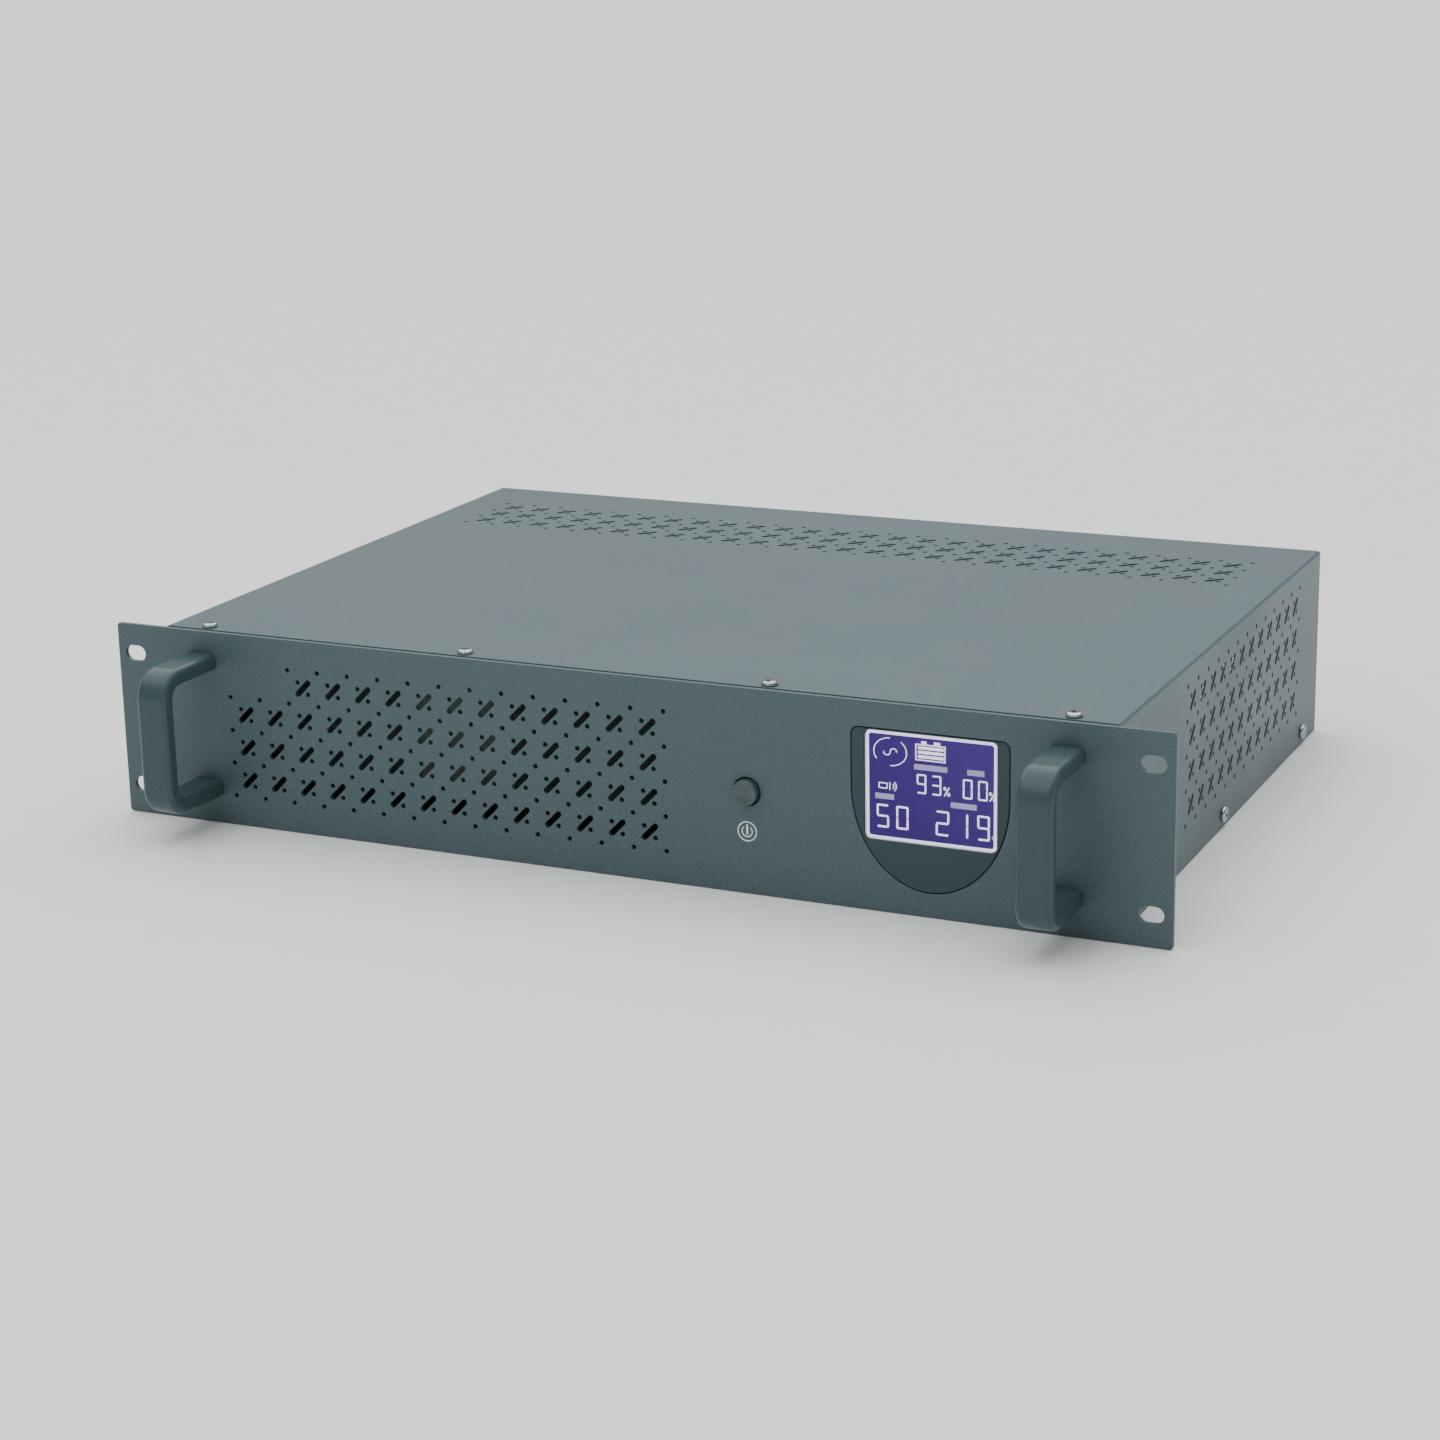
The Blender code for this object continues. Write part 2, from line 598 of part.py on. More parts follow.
# Display and button -------------------------------------------------------------------------
def display():
    """Bezel with a flange behind the panel, window, screen module and its circuit board."""
    aperture = rounded(LCD_X, LCD_Z, LCD_WIDTH + 0.0006, LCD_HEIGHT + 0.0006, 0.0023)
    ledge = rounded(LCD_X, LCD_Z, LCD_WIDTH - 0.004, LCD_HEIGHT - 0.004, 0.001)
    bezel = plate("display_bezel", [shield(0), aperture], FRONTWARD, (0, back(BEZEL_THICK / 2), 0),
                  BEZEL_THICK, BEZEL_PLASTIC)
    flange_back = PANEL_THICK + GAP + BEZEL_FLANGE_THICK / 2
    flange = plate("bezel_flange", [shield(BEZEL_FLANGE), ledge], FRONTWARD, (0, back(flange_back), 0),
                   BEZEL_FLANGE_THICK)
    neck = plate("bezel_neck", [shield(-BEZEL_GAP), ledge], FRONTWARD, (0, back(BEZEL_THICK + 0.0001), 0),
                 0.0006)
    start = flange_back + BEZEL_GAP
    posts = [rod(f"bezel_post_{index}", (x, back(start), z), "Y", BEZEL_POST_RADIUS,
                 DISPLAY_BOARD_BACK - BOARD_THICK / 2 - GAP - start, segments=8)
             for index, (x, z) in enumerate(BEZEL_POSTS)]
    join(bezel, neck, flange, *posts)
    plate("display_window", [rounded(LCD_X, LCD_Z, LCD_WIDTH, LCD_HEIGHT, 0.002)], FRONTWARD,
          (0, back(BEZEL_THICK / 2), 0), LCD_THICK, SCREEN)
    box("display_module", (LCD_X - MODULE_HALF_WIDTH, back(MODULE_BACK), LCD_Z - 0.0235),
        (LCD_X + MODULE_HALF_WIDTH, back(MODULE_BACK + MODULE_DEEP), LCD_Z + 0.0230), BLACK_PLASTIC)
    outline = rounded(DISPLAY_BOARD_X, MID_Z, *DISPLAY_BOARD, 0.002)
    plate("display_board", [outline], FRONTWARD, (0, back(DISPLAY_BOARD_BACK), 0), BOARD_THICK,
          CIRCUIT_BOARD)


def power_button():
    """A round cap that slides in the panel, its stem entering the switch behind it."""
    origin = (BUTTON_X, back(-BUTTON_PROUD), MID_Z)
    cap = rod("power_button", origin, "Y", BUTTON_RADIUS, BUTTON_LENGTH, BUTTON_PLASTIC, 24)
    soften(cap, 0.0006, 1)
    flange = rod("button_flange", (BUTTON_X, back(BUTTON_FLANGE_BACK), MID_Z), "Y", BUTTON_FLANGE_RADIUS,
                 0.0014, segments=20)
    stem = rod("button_stem", (BUTTON_X, back(BUTTON_FLANGE_BACK + 0.0007), MID_Z), "Y",
               BUTTON_STEM_RADIUS, 0.0055, segments=10)
    join(cap, flange, stem)
    near, far = SWITCH_BACK
    low = (BUTTON_X - SWITCH_HALF, back(near), MID_Z - SWITCH_HALF)
    high = (BUTTON_X + SWITCH_HALF, back(far), MID_Z + SWITCH_HALF)
    switch = box("button_switch", low, high, BLACK_PLASTIC)
    cut(switch, rod("switch_bore", (BUTTON_X, back(near - 0.0020), MID_Z), "Y",
                    BUTTON_STEM_RADIUS + 0.0005, 0.0080, segments=10))


# Batteries ----------------------------------------------------------------------------------
def battery(name, x, facing):
    """A sealed lead-acid block on its side. Its two blade terminals face the other battery."""
    wide, deep, high = BATTERY
    low = Vector((x - wide / 2, back(BATTERY_BACK), FLOOR_Z))
    body = box(name, low, low + Vector(BATTERY), BATTERY_CASE)
    soften(body, 0.0015, 1)
    edge = x + facing * wide / 2
    tabs = []
    for index, along in enumerate((TERMINAL_INSET, deep - TERMINAL_INSET)):
        middle = Vector((edge, low.y + along, FLOOR_Z + high / 2))
        half = Vector((TERMINAL_PROUD, 0.0032, 0.0006))
        tabs.append(box(f"{name}_tab_{index}", middle - half, middle + half))
    join(body, *tabs)


def battery_bracket():
    """A strap over both batteries with a foot at each end. The leads pass through its back upright."""
    top = FLOOR_Z + BATTERY[2] + GAP
    near, far = BATTERY_BACK - BRACKET_CLEARANCE, BATTERY_BACK + BATTERY[1] + BRACKET_CLEARANCE
    foot_front, foot_back = back(near - BRACKET_FOOT), back(far + BRACKET_FOOT)
    floor, over = FLOOR_Z + SHEET, top + SHEET
    outline = [(foot_front, FLOOR_Z), (back(near), FLOOR_Z), (back(near), top), (back(far), top),
               (back(far), FLOOR_Z), (foot_back, FLOOR_Z), (foot_back, floor), (back(far + SHEET), floor),
               (back(far + SHEET), over), (back(near - SHEET), over), (back(near - SHEET), floor),
               (foot_front, floor)]
    strap = plate("battery_bracket", [outline], SIDEWARD, (BRACKET_X, 0, 0), BRACKET_WIDE, ZINC_SHEET)
    middle = Vector((BRACKET_X, back(far), FLOOR_Z + BATTERY[2] / 2))
    half = Vector((0.010, 0.005, 0.010))
    cut(strap, box("bracket_notch", middle - half, middle + half))


def battery_leads():
    """The series link in the gap between the batteries, and the two leads to the main board."""
    left = BATTERY_X[0] + BATTERY[0] / 2 + TERMINAL_PROUD
    right = BATTERY_X[1] - BATTERY[0] / 2 - TERMINAL_PROUD
    level = FLOOR_Z + BATTERY[2] / 2
    near = back(BATTERY_BACK + TERMINAL_INSET)
    far = back(BATTERY_BACK + BATTERY[1] - TERMINAL_INSET)
    over = level + 0.0028
    outer, inner, middle = left - 0.0022, right + 0.0022, (left + right) / 2
    loop = [(outer, 0.0), (outer, 0.0080), (outer + 0.0014, 0.0114), (middle, 0.0127),
            (inner - 0.0014, 0.0114), (inner, 0.0080), (inner, 0.0)]
    tube("battery_link", [(x, near + along, over) for x, along in loop], LEAD_RADIUS, BLACK_LEAD)
    ends = back(BATTERY_BACK + BATTERY[1] + 0.030)
    for side, x, word, finish in ((1, right, "red", RED_LEAD), (-1, left, "black", BLACK_LEAD)):
        tube("battery_lead_" + word, [(x + side * 0.003, far, over), (x + side * 0.0005, far + 0.010, over),
                                      (x, ends - 0.012, over), (x + side * 0.004, ends, 0.026)],
             LEAD_RADIUS, finish)


# Transformer --------------------------------------------------------------------------------
def transformer():
    """Laminated core with two windows, its winding round the middle leg, and a foot."""
    centre = Vector((CORE_X, back(CORE_BACK), CORE_Z))
    half = Vector(CORE) / 2
    core = box("transformer_core", centre - half, centre + half, LAMINATION)
    leg, window, reach = CORE_LEG, CORE_WINDOW, CORE_REACH
    for index, side in enumerate((-1, 1)):
        edges = sorted((side * leg, side * window))
        cut(core, box(f"core_window_{index}", centre + Vector((edges[0], -reach, -0.03)),
                      centre + Vector((edges[1], reach, 0.03))))
    around = Vector((window - GAP, reach - GAP, WINDING_HALF_HIGH))
    winding = box("transformer_winding", centre - around, centre + around, COPPER)
    soften(winding, 0.006, 2, 60)
    through = Vector((leg + GAP, reach + 0.01, CORE[2] / 2 + GAP))
    cut(winding, box("winding_bore", centre - through, centre + through))
    floor, low = FLOOR_Z, FLOOR_Z + 0.0015
    outside, wide, rail = half.x + FOOT_REACH, half.x, half.x - FOOT_RAIL
    top = centre.z - half.z - GAP
    outline = [(-outside, floor), (outside, floor), (outside, low), (wide, low), (wide, top), (rail, top),
               (rail, low), (-rail, low), (-rail, top), (-wide, top), (-wide, low), (-outside, low)]
    plate("transformer_foot", [outline], FRONTWARD, (CORE_X, back(CORE_BACK), 0), CORE[1], ZINC_SHEET)


# Main board ---------------------------------------------------------------------------------
def heatsink(name, x, near):
    """Upright fins on a base, open at the top."""
    wide, deep, high = HEATSINK
    fin, spaces = HEATSINK_FIN_THICK, HEATSINK_FINS - 1
    floor = BOARD_Z + BOARD_THICK + GAP
    base = floor + HEATSINK_BASE
    outline = [(x - wide / 2, floor), (x + wide / 2, floor), (x + wide / 2, floor + high)]
    pitch = (wide - fin) / spaces
    for index in range(spaces):
        inner = x + wide / 2 - fin - index * pitch
        outer = inner - pitch + fin
        outline += [(inner, floor + high), (inner, base), (outer, base), (outer, floor + high)]
    outline.append((x - wide / 2, floor + high))
    plate(name, [outline], FRONTWARD, (0, back(near + deep / 2), 0), deep, ALUMINIUM)


def main_board():
    """The power board on its stand-offs, with heatsinks, capacitors and relays."""
    near, far = BOARD_BACK
    left, right = BOARD_X
    board = box("main_board", (left, back(near), BOARD_Z), (right, back(far), BOARD_Z + BOARD_THICK),
                CIRCUIT_BOARD)
    inset = BOARD_POST_INSET
    corners = [(x, along) for along in (near + inset, far - inset) for x in (left + inset, right - inset)]
    for index, (x, along) in enumerate(corners):
        join(board, rod(f"board_post_{index}", (x, back(along), FLOOR_Z), "Z", BOARD_POST_RADIUS,
                        BOARD_Z + 0.001 - FLOOR_Z, segments=8))
    surface = BOARD_Z + BOARD_THICK + GAP
    for index, x in enumerate(HEATSINK_X):
        heatsink(f"heatsink_{index + 1}", x, HEATSINK_BACK)
    for index, x in enumerate(CAPACITOR_X):
        can = rod(f"capacitor_{index + 1}", (x, back(CAPACITOR_BACK), surface), "Z", CAPACITOR_RADIUS,
                  CAPACITOR_HIGH, BLACK_PLASTIC, 16)
        soften(can, 0.001, 1)
    for index, x in enumerate(RELAY_X):
        low = Vector((x - RELAY[0] / 2, back(RELAY_BACK), surface))
        relay = box(f"relay_{index + 1}", low, low + Vector(RELAY), RELAY_BLUE)
        soften(relay, 0.0008, 1)


# Fan ----------------------------------------------------------------------------------------
def fan():
    """A square frame with four struts holding the motor, and a seven-bladed rotor in it."""
    rear = REAR_FACE - SHEET - GAP
    near = rear - FAN_DEEP
    half = FAN_SIZE / 2
    frame = plate("fan_frame", [rounded(FAN_X, MID_Z, FAN_SIZE, FAN_SIZE, 0.004),
                                ring(FAN_X, MID_Z, half - FAN_RIM, 28)],
                  FRONTWARD, (0, back((near + rear) / 2), 0), FAN_DEEP, BLACK_PLASTIC)
    motor = rod("fan_motor", (FAN_X, back(rear - 0.0045), MID_Z), "Y", FAN_MOTOR_RADIUS, 0.0040,
                segments=20)
    strut_low, strut_high = back(rear - 0.0040), back(rear - 0.0010)
    struts = []
    for index, (x, z) in enumerate(((0.001, half - 0.001), (half - 0.001, 0.001))):
        struts.append(box(f"fan_strut_{index}", (FAN_X - x, strut_low, MID_Z - z),
                          (FAN_X + x, strut_high, MID_Z + z)))
    join(frame, motor, *struts)
    hub_front, hub_back = near + 0.0015, rear - 0.0052
    rotor = rod("fan_rotor", (FAN_X, back(hub_front), MID_Z), "Y", FAN_HUB_RADIUS, hub_back - hub_front,
                BLACK_PLASTIC, 28)
    blades = bmesh.new()
    for index in range(FAN_BLADES):
        turn = Matrix.Rotation(math.tau * index / FAN_BLADES, 3, "Y")
        made = bmesh.ops.create_cube(blades, size=1.0)["verts"]
        bmesh.ops.scale(blades, vec=FAN_BLADE, verts=made)
        bmesh.ops.rotate(blades, matrix=Matrix.Rotation(FAN_BLADE_PITCH, 3, "X"), verts=made)
        bmesh.ops.translate(blades, vec=(FAN_BLADE_MIDDLE, (hub_back - hub_front) / 2, 0), verts=made)
        bmesh.ops.rotate(blades, matrix=turn, verts=made)
    mesh = bpy.data.meshes.new("fan_blades")
    blades.to_mesh(mesh)
    blades.free()
    join(rotor, place("fan_blades", mesh, Matrix.Translation((FAN_X, back(hub_front), MID_Z)), None))


# Sockets and ports --------------------------------------------------------------------------
def socket_shell(name, x, holes, with_pins=False):
    """A mains socket: a flange outside the back panel and a body through the cut-out."""
    outside = REAR_FACE + GAP
    wide, high = SOCKET_BODY
    rim = rounded(x, SOCKET_Z, wide + SOCKET_FLANGE, high + SOCKET_FLANGE, 0.003)
    shell = plate(name, [rim], FRONTWARD, (0, back(outside + SOCKET_FLANGE_THICK / 2), 0),
                  SOCKET_FLANGE_THICK, BLACK_PLASTIC)
    body = plate(name + "_body", [rounded(x, SOCKET_Z, wide, high, 0.0025)], FRONTWARD,
                 (0, back(outside + 0.0015 - SOCKET_DEEP / 2), 0), SOCKET_DEEP)
    join(shell, body)
    cut(shell, plate(name + "_holes", holes, FRONTWARD, (0, back(outside - 0.0050), 0), SOCKET_HOLE_DEEP))
    if with_pins:
        half_wide, half_high = PIN[0] / 2, PIN[1] / 2
        join(shell, *[box(f"{name}_pin_{index}",
                          (x + px - half_wide, back(outside - 0.0150), SOCKET_Z + pz - half_high),
                          (x + px + half_wide, back(outside - 0.0020), SOCKET_Z + pz + half_high))
                      for index, (px, pz) in enumerate(PIN_PLACES)])


def mains_sockets():
    """One inlet with three blades, and four outlets with slits for them."""
    socket_shell("inlet_socket", INLET_X, [rounded(INLET_X, SOCKET_Z, *INLET_RECESS, 0.003)], True)
    for index, x in enumerate(OUTLET_X):
        slits = [rectangle(x + px, SOCKET_Z + pz, *SLIT) for px, pz in PIN_PLACES]
        socket_shell(f"outlet_{index + 1}", x, slits)


def breaker():
    """The resettable input breaker: a threaded neck and the button that pops out of it."""
    outside = REAR_FACE + GAP
    body = rod("breaker_body", (BREAKER_X, back(outside + BREAKER_COLLAR_THICK), SOCKET_Z), "Y",
               BREAKER_COLLAR_RADIUS, -BREAKER_COLLAR_THICK, BLACK_PLASTIC, 20)
    neck = rod("breaker_neck", (BREAKER_X, back(outside + 0.0010), SOCKET_Z), "Y", BREAKER_NECK_RADIUS,
               -0.0060, segments=16)
    block = box("breaker_block", (BREAKER_X - 0.0085, back(REAR_FACE - 0.0300), SOCKET_Z - 0.013),
                (BREAKER_X + 0.0085, back(REAR_FACE - SHEET - GAP), SOCKET_Z + 0.013))
    join(body, neck, block)
    cut(body, rod("breaker_bore", (BREAKER_X, back(outside + 0.0030), SOCKET_Z), "Y", BREAKER_BORE_RADIUS,
                  -BREAKER_DEEP, segments=16))
    button = rod("breaker_button", (BREAKER_X, back(BODY_DEPTH + BACK_PROUD), SOCKET_Z), "Y",
                 BREAKER_BUTTON_RADIUS, -BREAKER_DEEP, BLACK_PLASTIC, 16)
    soften(button, 0.0004, 1)


def port(name, outline, mouths, proud, finish):
    """A signal connector that passes through the back panel, open at its mouths."""
    face = REAR_FACE + proud
    shell = plate(name, [outline], FRONTWARD, (0, back(face - PORT_DEEP / 2), 0), PORT_DEEP, finish)
    cut(shell, plate(name + "_mouth", mouths, FRONTWARD, (0, back(face - 0.0030), 0), PORT_MOUTH_DEEP))


def d_shape(wide, high):
    """The serial port's outline, narrower below."""
    half, slant = wide / 2, SERIAL_SLANT
    return [(SERIAL_X - half, PORT_Z + high / 2), (SERIAL_X - half + slant, PORT_Z - high / 2),
            (SERIAL_X + half - slant, PORT_Z - high / 2), (SERIAL_X + half, PORT_Z + high / 2)]


def ports():
    """A USB port, a nine-way serial port, a pair of surge-protected jacks and the card slot's cover."""
    port("usb_port", rectangle(USB_X, PORT_Z, *USB_SHELL), [rectangle(USB_X, PORT_Z, *USB_MOUTH)], 0.0005,
         ALUMINIUM)
    port("serial_port", d_shape(*SERIAL_SHELL), [d_shape(*SERIAL_MOUTH)], 0.0020, ALUMINIUM)
    jacks = [rectangle(SURGE_X + side * SURGE_MOUTH_X, PORT_Z, *SURGE_MOUTH) for side in (-1, 1)]
    port("surge_jack", rectangle(SURGE_X, PORT_Z, *SURGE_SHELL), jacks, 0.0010, BLACK_PLASTIC)
    outline = rounded(CARD_X, CARD_Z, *CARD_COVER, 0.002)
    plate("card_slot_cover", [outline], FRONTWARD, (0, back(REAR_FACE + GAP + SHEET / 2), 0), SHEET,
          COATED_STEEL)


def main():
    clear_scene()
    chassis_tray()
    front_panel()
    top_cover()
    rear_panel()
    handle("handle_left", -HANDLE_X)
    handle("handle_right", HANDLE_X)
    screws()
    display()
    power_button()
    battery("battery_1", BATTERY_X[0], 1)
    battery("battery_2", BATTERY_X[1], -1)
    battery_bracket()
    battery_leads()
    transformer()
    main_board()
    fan()
    mains_sockets()
    breaker()
    ports()


main()
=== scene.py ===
"""Looks of a rack-mounted uninterruptible power supply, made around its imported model.

Laid out as an add-on and run as a script: each piece has an operator, listed in a sidebar panel.
Metres, +Z up, +Y towards the back, +X to the right as seen from the front.
"""

import math

import bmesh
import bpy
from mathutils import Matrix, Vector


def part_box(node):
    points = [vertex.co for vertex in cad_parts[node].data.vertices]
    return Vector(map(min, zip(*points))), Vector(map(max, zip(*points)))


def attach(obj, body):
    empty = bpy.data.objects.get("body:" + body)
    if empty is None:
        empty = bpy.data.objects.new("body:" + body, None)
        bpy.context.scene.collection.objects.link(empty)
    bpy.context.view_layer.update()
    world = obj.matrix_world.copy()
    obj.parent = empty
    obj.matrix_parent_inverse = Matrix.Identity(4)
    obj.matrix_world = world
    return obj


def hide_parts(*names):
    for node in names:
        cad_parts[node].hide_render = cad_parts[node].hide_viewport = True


bl_info = {
    "name": "Rack power supply",
    "version": (1, 0, 0),
    "blender": (4, 5, 0),
    "location": "View3D > Sidebar > Power supply",
    "description": "Builds the visible pieces of a rack-mounted power supply around its packed model",
    "category": "Object",
}

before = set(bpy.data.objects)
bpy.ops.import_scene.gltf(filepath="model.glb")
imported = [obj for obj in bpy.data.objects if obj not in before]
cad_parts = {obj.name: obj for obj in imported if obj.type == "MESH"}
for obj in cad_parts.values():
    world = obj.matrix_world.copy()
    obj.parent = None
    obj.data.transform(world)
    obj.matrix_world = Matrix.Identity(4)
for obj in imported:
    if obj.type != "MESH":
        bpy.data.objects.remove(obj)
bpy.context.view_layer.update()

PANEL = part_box("front_panel")
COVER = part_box("top_cover")
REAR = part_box("rear_panel")
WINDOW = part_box("display_window")
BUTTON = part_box("power_button")
FACE_Y = PANEL[0].y
MID_Z = (PANEL[0].z + PANEL[1].z) / 2

SOCKETS = ("inlet_socket", "outlet_1", "outlet_2", "outlet_3", "outlet_4")

RIGHT_ANGLE = math.pi / 2
HAIR = 0.000001               # merge distance
LOOK = "look_"                # keeps the finishes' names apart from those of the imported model
PRINT = 0.00004               # thickness of ink and of lit segments
FRONTWARD = Matrix.Rotation(RIGHT_ANGLE, 4, "X")
BACKWARD = Matrix.Rotation(math.pi, 4, "Z") @ FRONTWARD
RIGHTWARD = Matrix.Rotation(RIGHT_ANGLE, 4, "Z") @ FRONTWARD
LEFTWARD = Matrix.Rotation(-RIGHT_ANGLE, 4, "Z") @ FRONTWARD
UPWARD = Matrix.Identity(4)


# Places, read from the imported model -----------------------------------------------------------
def middle_of(node):
    low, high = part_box(node)
    return (low + high) / 2


def from_behind(node):
    """The matrix that lays an outline on a node's back face, and the node's width, height and depth."""
    low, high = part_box(node)
    middle = (low + high) / 2
    place = Matrix.Translation((middle.x, high.y, middle.z)) @ BACKWARD
    return place, high.x - low.x, high.z - low.z, high.y - low.y


# Settings -----------------------------------------------------------------------------------
def size(name, description, default):
    return bpy.props.FloatProperty(name=name, description=description, default=default, precision=5,
                                   unit="LENGTH")


def tint(name, description, default):
    return bpy.props.FloatVectorProperty(name=name, description=description, default=default, size=3,
                                         min=0.0, max=1.0, subtype="COLOR")


class SupplySizes(bpy.types.PropertyGroup):
    """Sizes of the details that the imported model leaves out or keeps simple."""
    vent_pitch: size("Vent pitch", "Distance between neighbouring vents", 0.015)
    vent_length: size("Vent length", "Length of a slanted vent slot", 0.0101)
    vent_width: size("Vent width", "Width of a slanted vent slot", 0.0027)
    vent_dot: size("Vent dot", "Radius of the round holes among the slots", 0.00112)
    front_vents_left: size("Front vents", "Left edge of the front vents", -0.184)
    top_vents_front: size("Top vents", "Front edge of the top vents, behind the panel's face", 0.2326)
    side_vents_front: size("Side vents", "Front edge of the side vents, behind the panel's face", 0.095)
    side_vents_low: size("Side vents' height", "Lower edge of the side vents", 0.018)
    edge_round: size("Edge rounding", "Rounding on the edges of the painted sheet", 0.0003)
    panel_corner: size("Panel corner", "Radius of the panel's corners", 0.0015)
    rack_slot_length: size("Rack slot length", "Length of the slots for rack screws", 0.0103)
    rack_slot_width: size("Rack slot width", "Width of the slots for rack screws", 0.0071)
    rack_slot_x: size("Rack slot place", "Distance of the rack slots from the middle", 0.2325)
    rack_slot_rise: size("Rack slot rise", "Height of the rack slots above and below the middle", 0.0303)
    cover_sheet: size("Cover sheet", "Thickness of the cover's sheet", 0.0007)
    cover_fold: size("Cover fold", "Outer radius of the cover's two folds", 0.0015)
    handle_thick: size("Handle thickness", "Thickness of the handle's strap", 0.0075)
    handle_bend: size("Handle bend", "Outer radius of the handle's bends", 0.013)
    handle_round: size("Handle rounding", "Rounding on the handle's long edges", 0.0024)
    button_hole: size("Button hole", "Radius of the hole round the button", 0.0062)
    button_radius: size("Button radius", "Radius of the button's cap", 0.0055)
    bezel_half: size("Bezel half width", "Half the width of the display's bezel", 0.0331)
    bezel_x: size("Bezel place", "Middle of the bezel", 0.1417)
    bezel_top: size("Bezel top", "Top of the bezel", 0.0760)
    bezel_bottom: size("Bezel bottom", "Lowest point of the bezel", 0.0104)
    bezel_bend: size("Bezel bend", "Height at which the bezel's sides start to curve in", 0.0520)
    bezel_corner: size("Bezel corner", "Radius of the bezel's upper corners", 0.003)
    bezel_gap: size("Bezel gap", "Gap between the bezel and the panel", 0.0004)


class SupplyColours(bpy.types.PropertyGroup):
    """Colours of the painted, moulded and lit surfaces."""
    coat: tint("Coat", "Powder coat on the casing", (0.053, 0.092, 0.103))
    coat_light: tint("Coat, light grains", "Lighter grains in the powder coat", (0.078, 0.126, 0.139))
    handle: tint("Handle", "Satin coat on the handles", (0.038, 0.068, 0.075))
    bezel: tint("Bezel", "Moulded plastic round the display", (0.034, 0.059, 0.066))
    button: tint("Button", "Moulded plastic of the power button", (0.050, 0.075, 0.080))
    screen: tint("Screen", "Lit ground of the display", (0.044, 0.014, 0.180))
    screen_edge: tint("Screen, upper right", "Lit ground towards the upper right", (0.062, 0.030, 0.225))
    marks: tint("Marks", "Lit marks on the display", (0.82, 0.80, 1.0))
    labels: tint("Labels", "Dimmer blank plates on the display", (0.42, 0.38, 0.68))
    ink: tint("Ink", "Printed symbol below the button", (0.93, 0.95, 0.94))


class StageSettings(bpy.types.PropertyGroup):
    """Camera and light."""
    lens: bpy.props.FloatProperty(name="Lens", description="Focal length on a 36 mm sensor", default=76.86,
                                  unit="CAMERA")
    place: bpy.props.FloatVectorProperty(name="Camera place", description="Where the camera stands",
                                         default=(0.5538, -1.2183, 0.4198), subtype="TRANSLATION")
    turn: bpy.props.FloatVectorProperty(name="Camera turn", description="How the camera is turned",
                                        default=tuple(map(math.radians, (74.434, 1.298, 25.282))),
                                        subtype="EULER")
    shift: bpy.props.FloatVectorProperty(name="Shift", description="Lens shift across and up",
                                         default=(0.0259, -0.0251), size=2)
    key_strength: bpy.props.FloatProperty(name="Top light", description="Strength of the broad light above",
                                          default=3.9, min=0.0)
    key_breadth: bpy.props.FloatProperty(name="Top light's breadth", description="How wide it spreads",
                                         default=1.7, subtype="ANGLE")
    side_power: bpy.props.FloatProperty(name="Side light", description="Power of the light on the right",
                                        default=0.6, unit="POWER")
    fill_power: bpy.props.FloatProperty(name="Front light", description="Power of the light in front",
                                        default=4.0, unit="POWER")
    sky: bpy.props.FloatProperty(name="Surroundings", description="Light given by the surroundings",
                                 default=0.36, min=0.0)
    backdrop: bpy.props.FloatProperty(name="Backdrop", description="Brightness seen beyond the floor",
                                      default=1.25, min=0.0)


# Shapes in a bmesh. Outlines lie in its XY plane -------------------------------------------
def edges_of(verts):
    """Each edge on some vertices once, always in the same order."""
    return list(dict.fromkeys(edge for vert in verts for edge in vert.link_edges))


def verts_in(made):
    """The vertices among what an operator made."""
    return [item for item in made if isinstance(item, bmesh.types.BMVert)]


def face_in(made):
    """The first face among what an operator made."""
    return next(item for item in made if isinstance(item, bmesh.types.BMFace))


def ring(work, x, y, radius, sides):
    """A circle's edges."""
    made = bmesh.ops.create_circle(work, cap_ends=False, segments=sides, radius=radius)["verts"]
    bmesh.ops.translate(work, vec=(x, y, 0), verts=made)
    return edges_of(made)


def slot(work, x, y, length, width, lean=0.0, sides=12):
    """An obround's edges: a circle pulled apart at its middle, then leant over."""
    made = bmesh.ops.create_circle(work, cap_ends=False, segments=sides, radius=width / 2)["verts"]
    bmesh.ops.rotate(work, matrix=Matrix.Rotation(math.pi / sides, 3, "Z"), verts=made)
    for side in (-1, 1):
        half = [vert for vert in made if vert.co.x * side > 0]
        bmesh.ops.translate(work, vec=(side * (length - width) / 2, 0, 0), verts=half)
    bmesh.ops.rotate(work, matrix=Matrix.Rotation(lean, 3, "Z"), verts=made)
    bmesh.ops.translate(work, vec=(x, y, 0), verts=made)
    return edges_of(made)


def outline_of(work, face, corners, radius, steps):
    """A face's edges with some corners rounded. The face itself is taken away."""
    if radius > 0:
        made = bmesh.ops.bevel(work, geom=corners, offset=radius, offset_type="OFFSET", segments=steps,
                               profile=0.5, affect="VERTICES", material=-1)
        face = made["verts"][0].link_faces[0]
    edges = face.edges[:]
    bmesh.ops.delete(work, geom=[face], context="FACES_ONLY")
    return edges


def rectangle(work, width, height):
    """One flat face about the middle. Gives its vertices."""
    made = bmesh.ops.create_grid(work, x_segments=1, y_segments=1, size=0.5)["verts"]
    bmesh.ops.scale(work, vec=(width, height, 1), verts=made)
    return made


def rounded(work, x, y, width, height, radius=0.0, steps=4, level=0.0):
    """A rectangle's edges with rounded corners."""
    made = rectangle(work, width, height)
    bmesh.ops.translate(work, vec=(x, y, level), verts=made)
    return outline_of(work, made[0].link_faces[0], made, radius, steps)


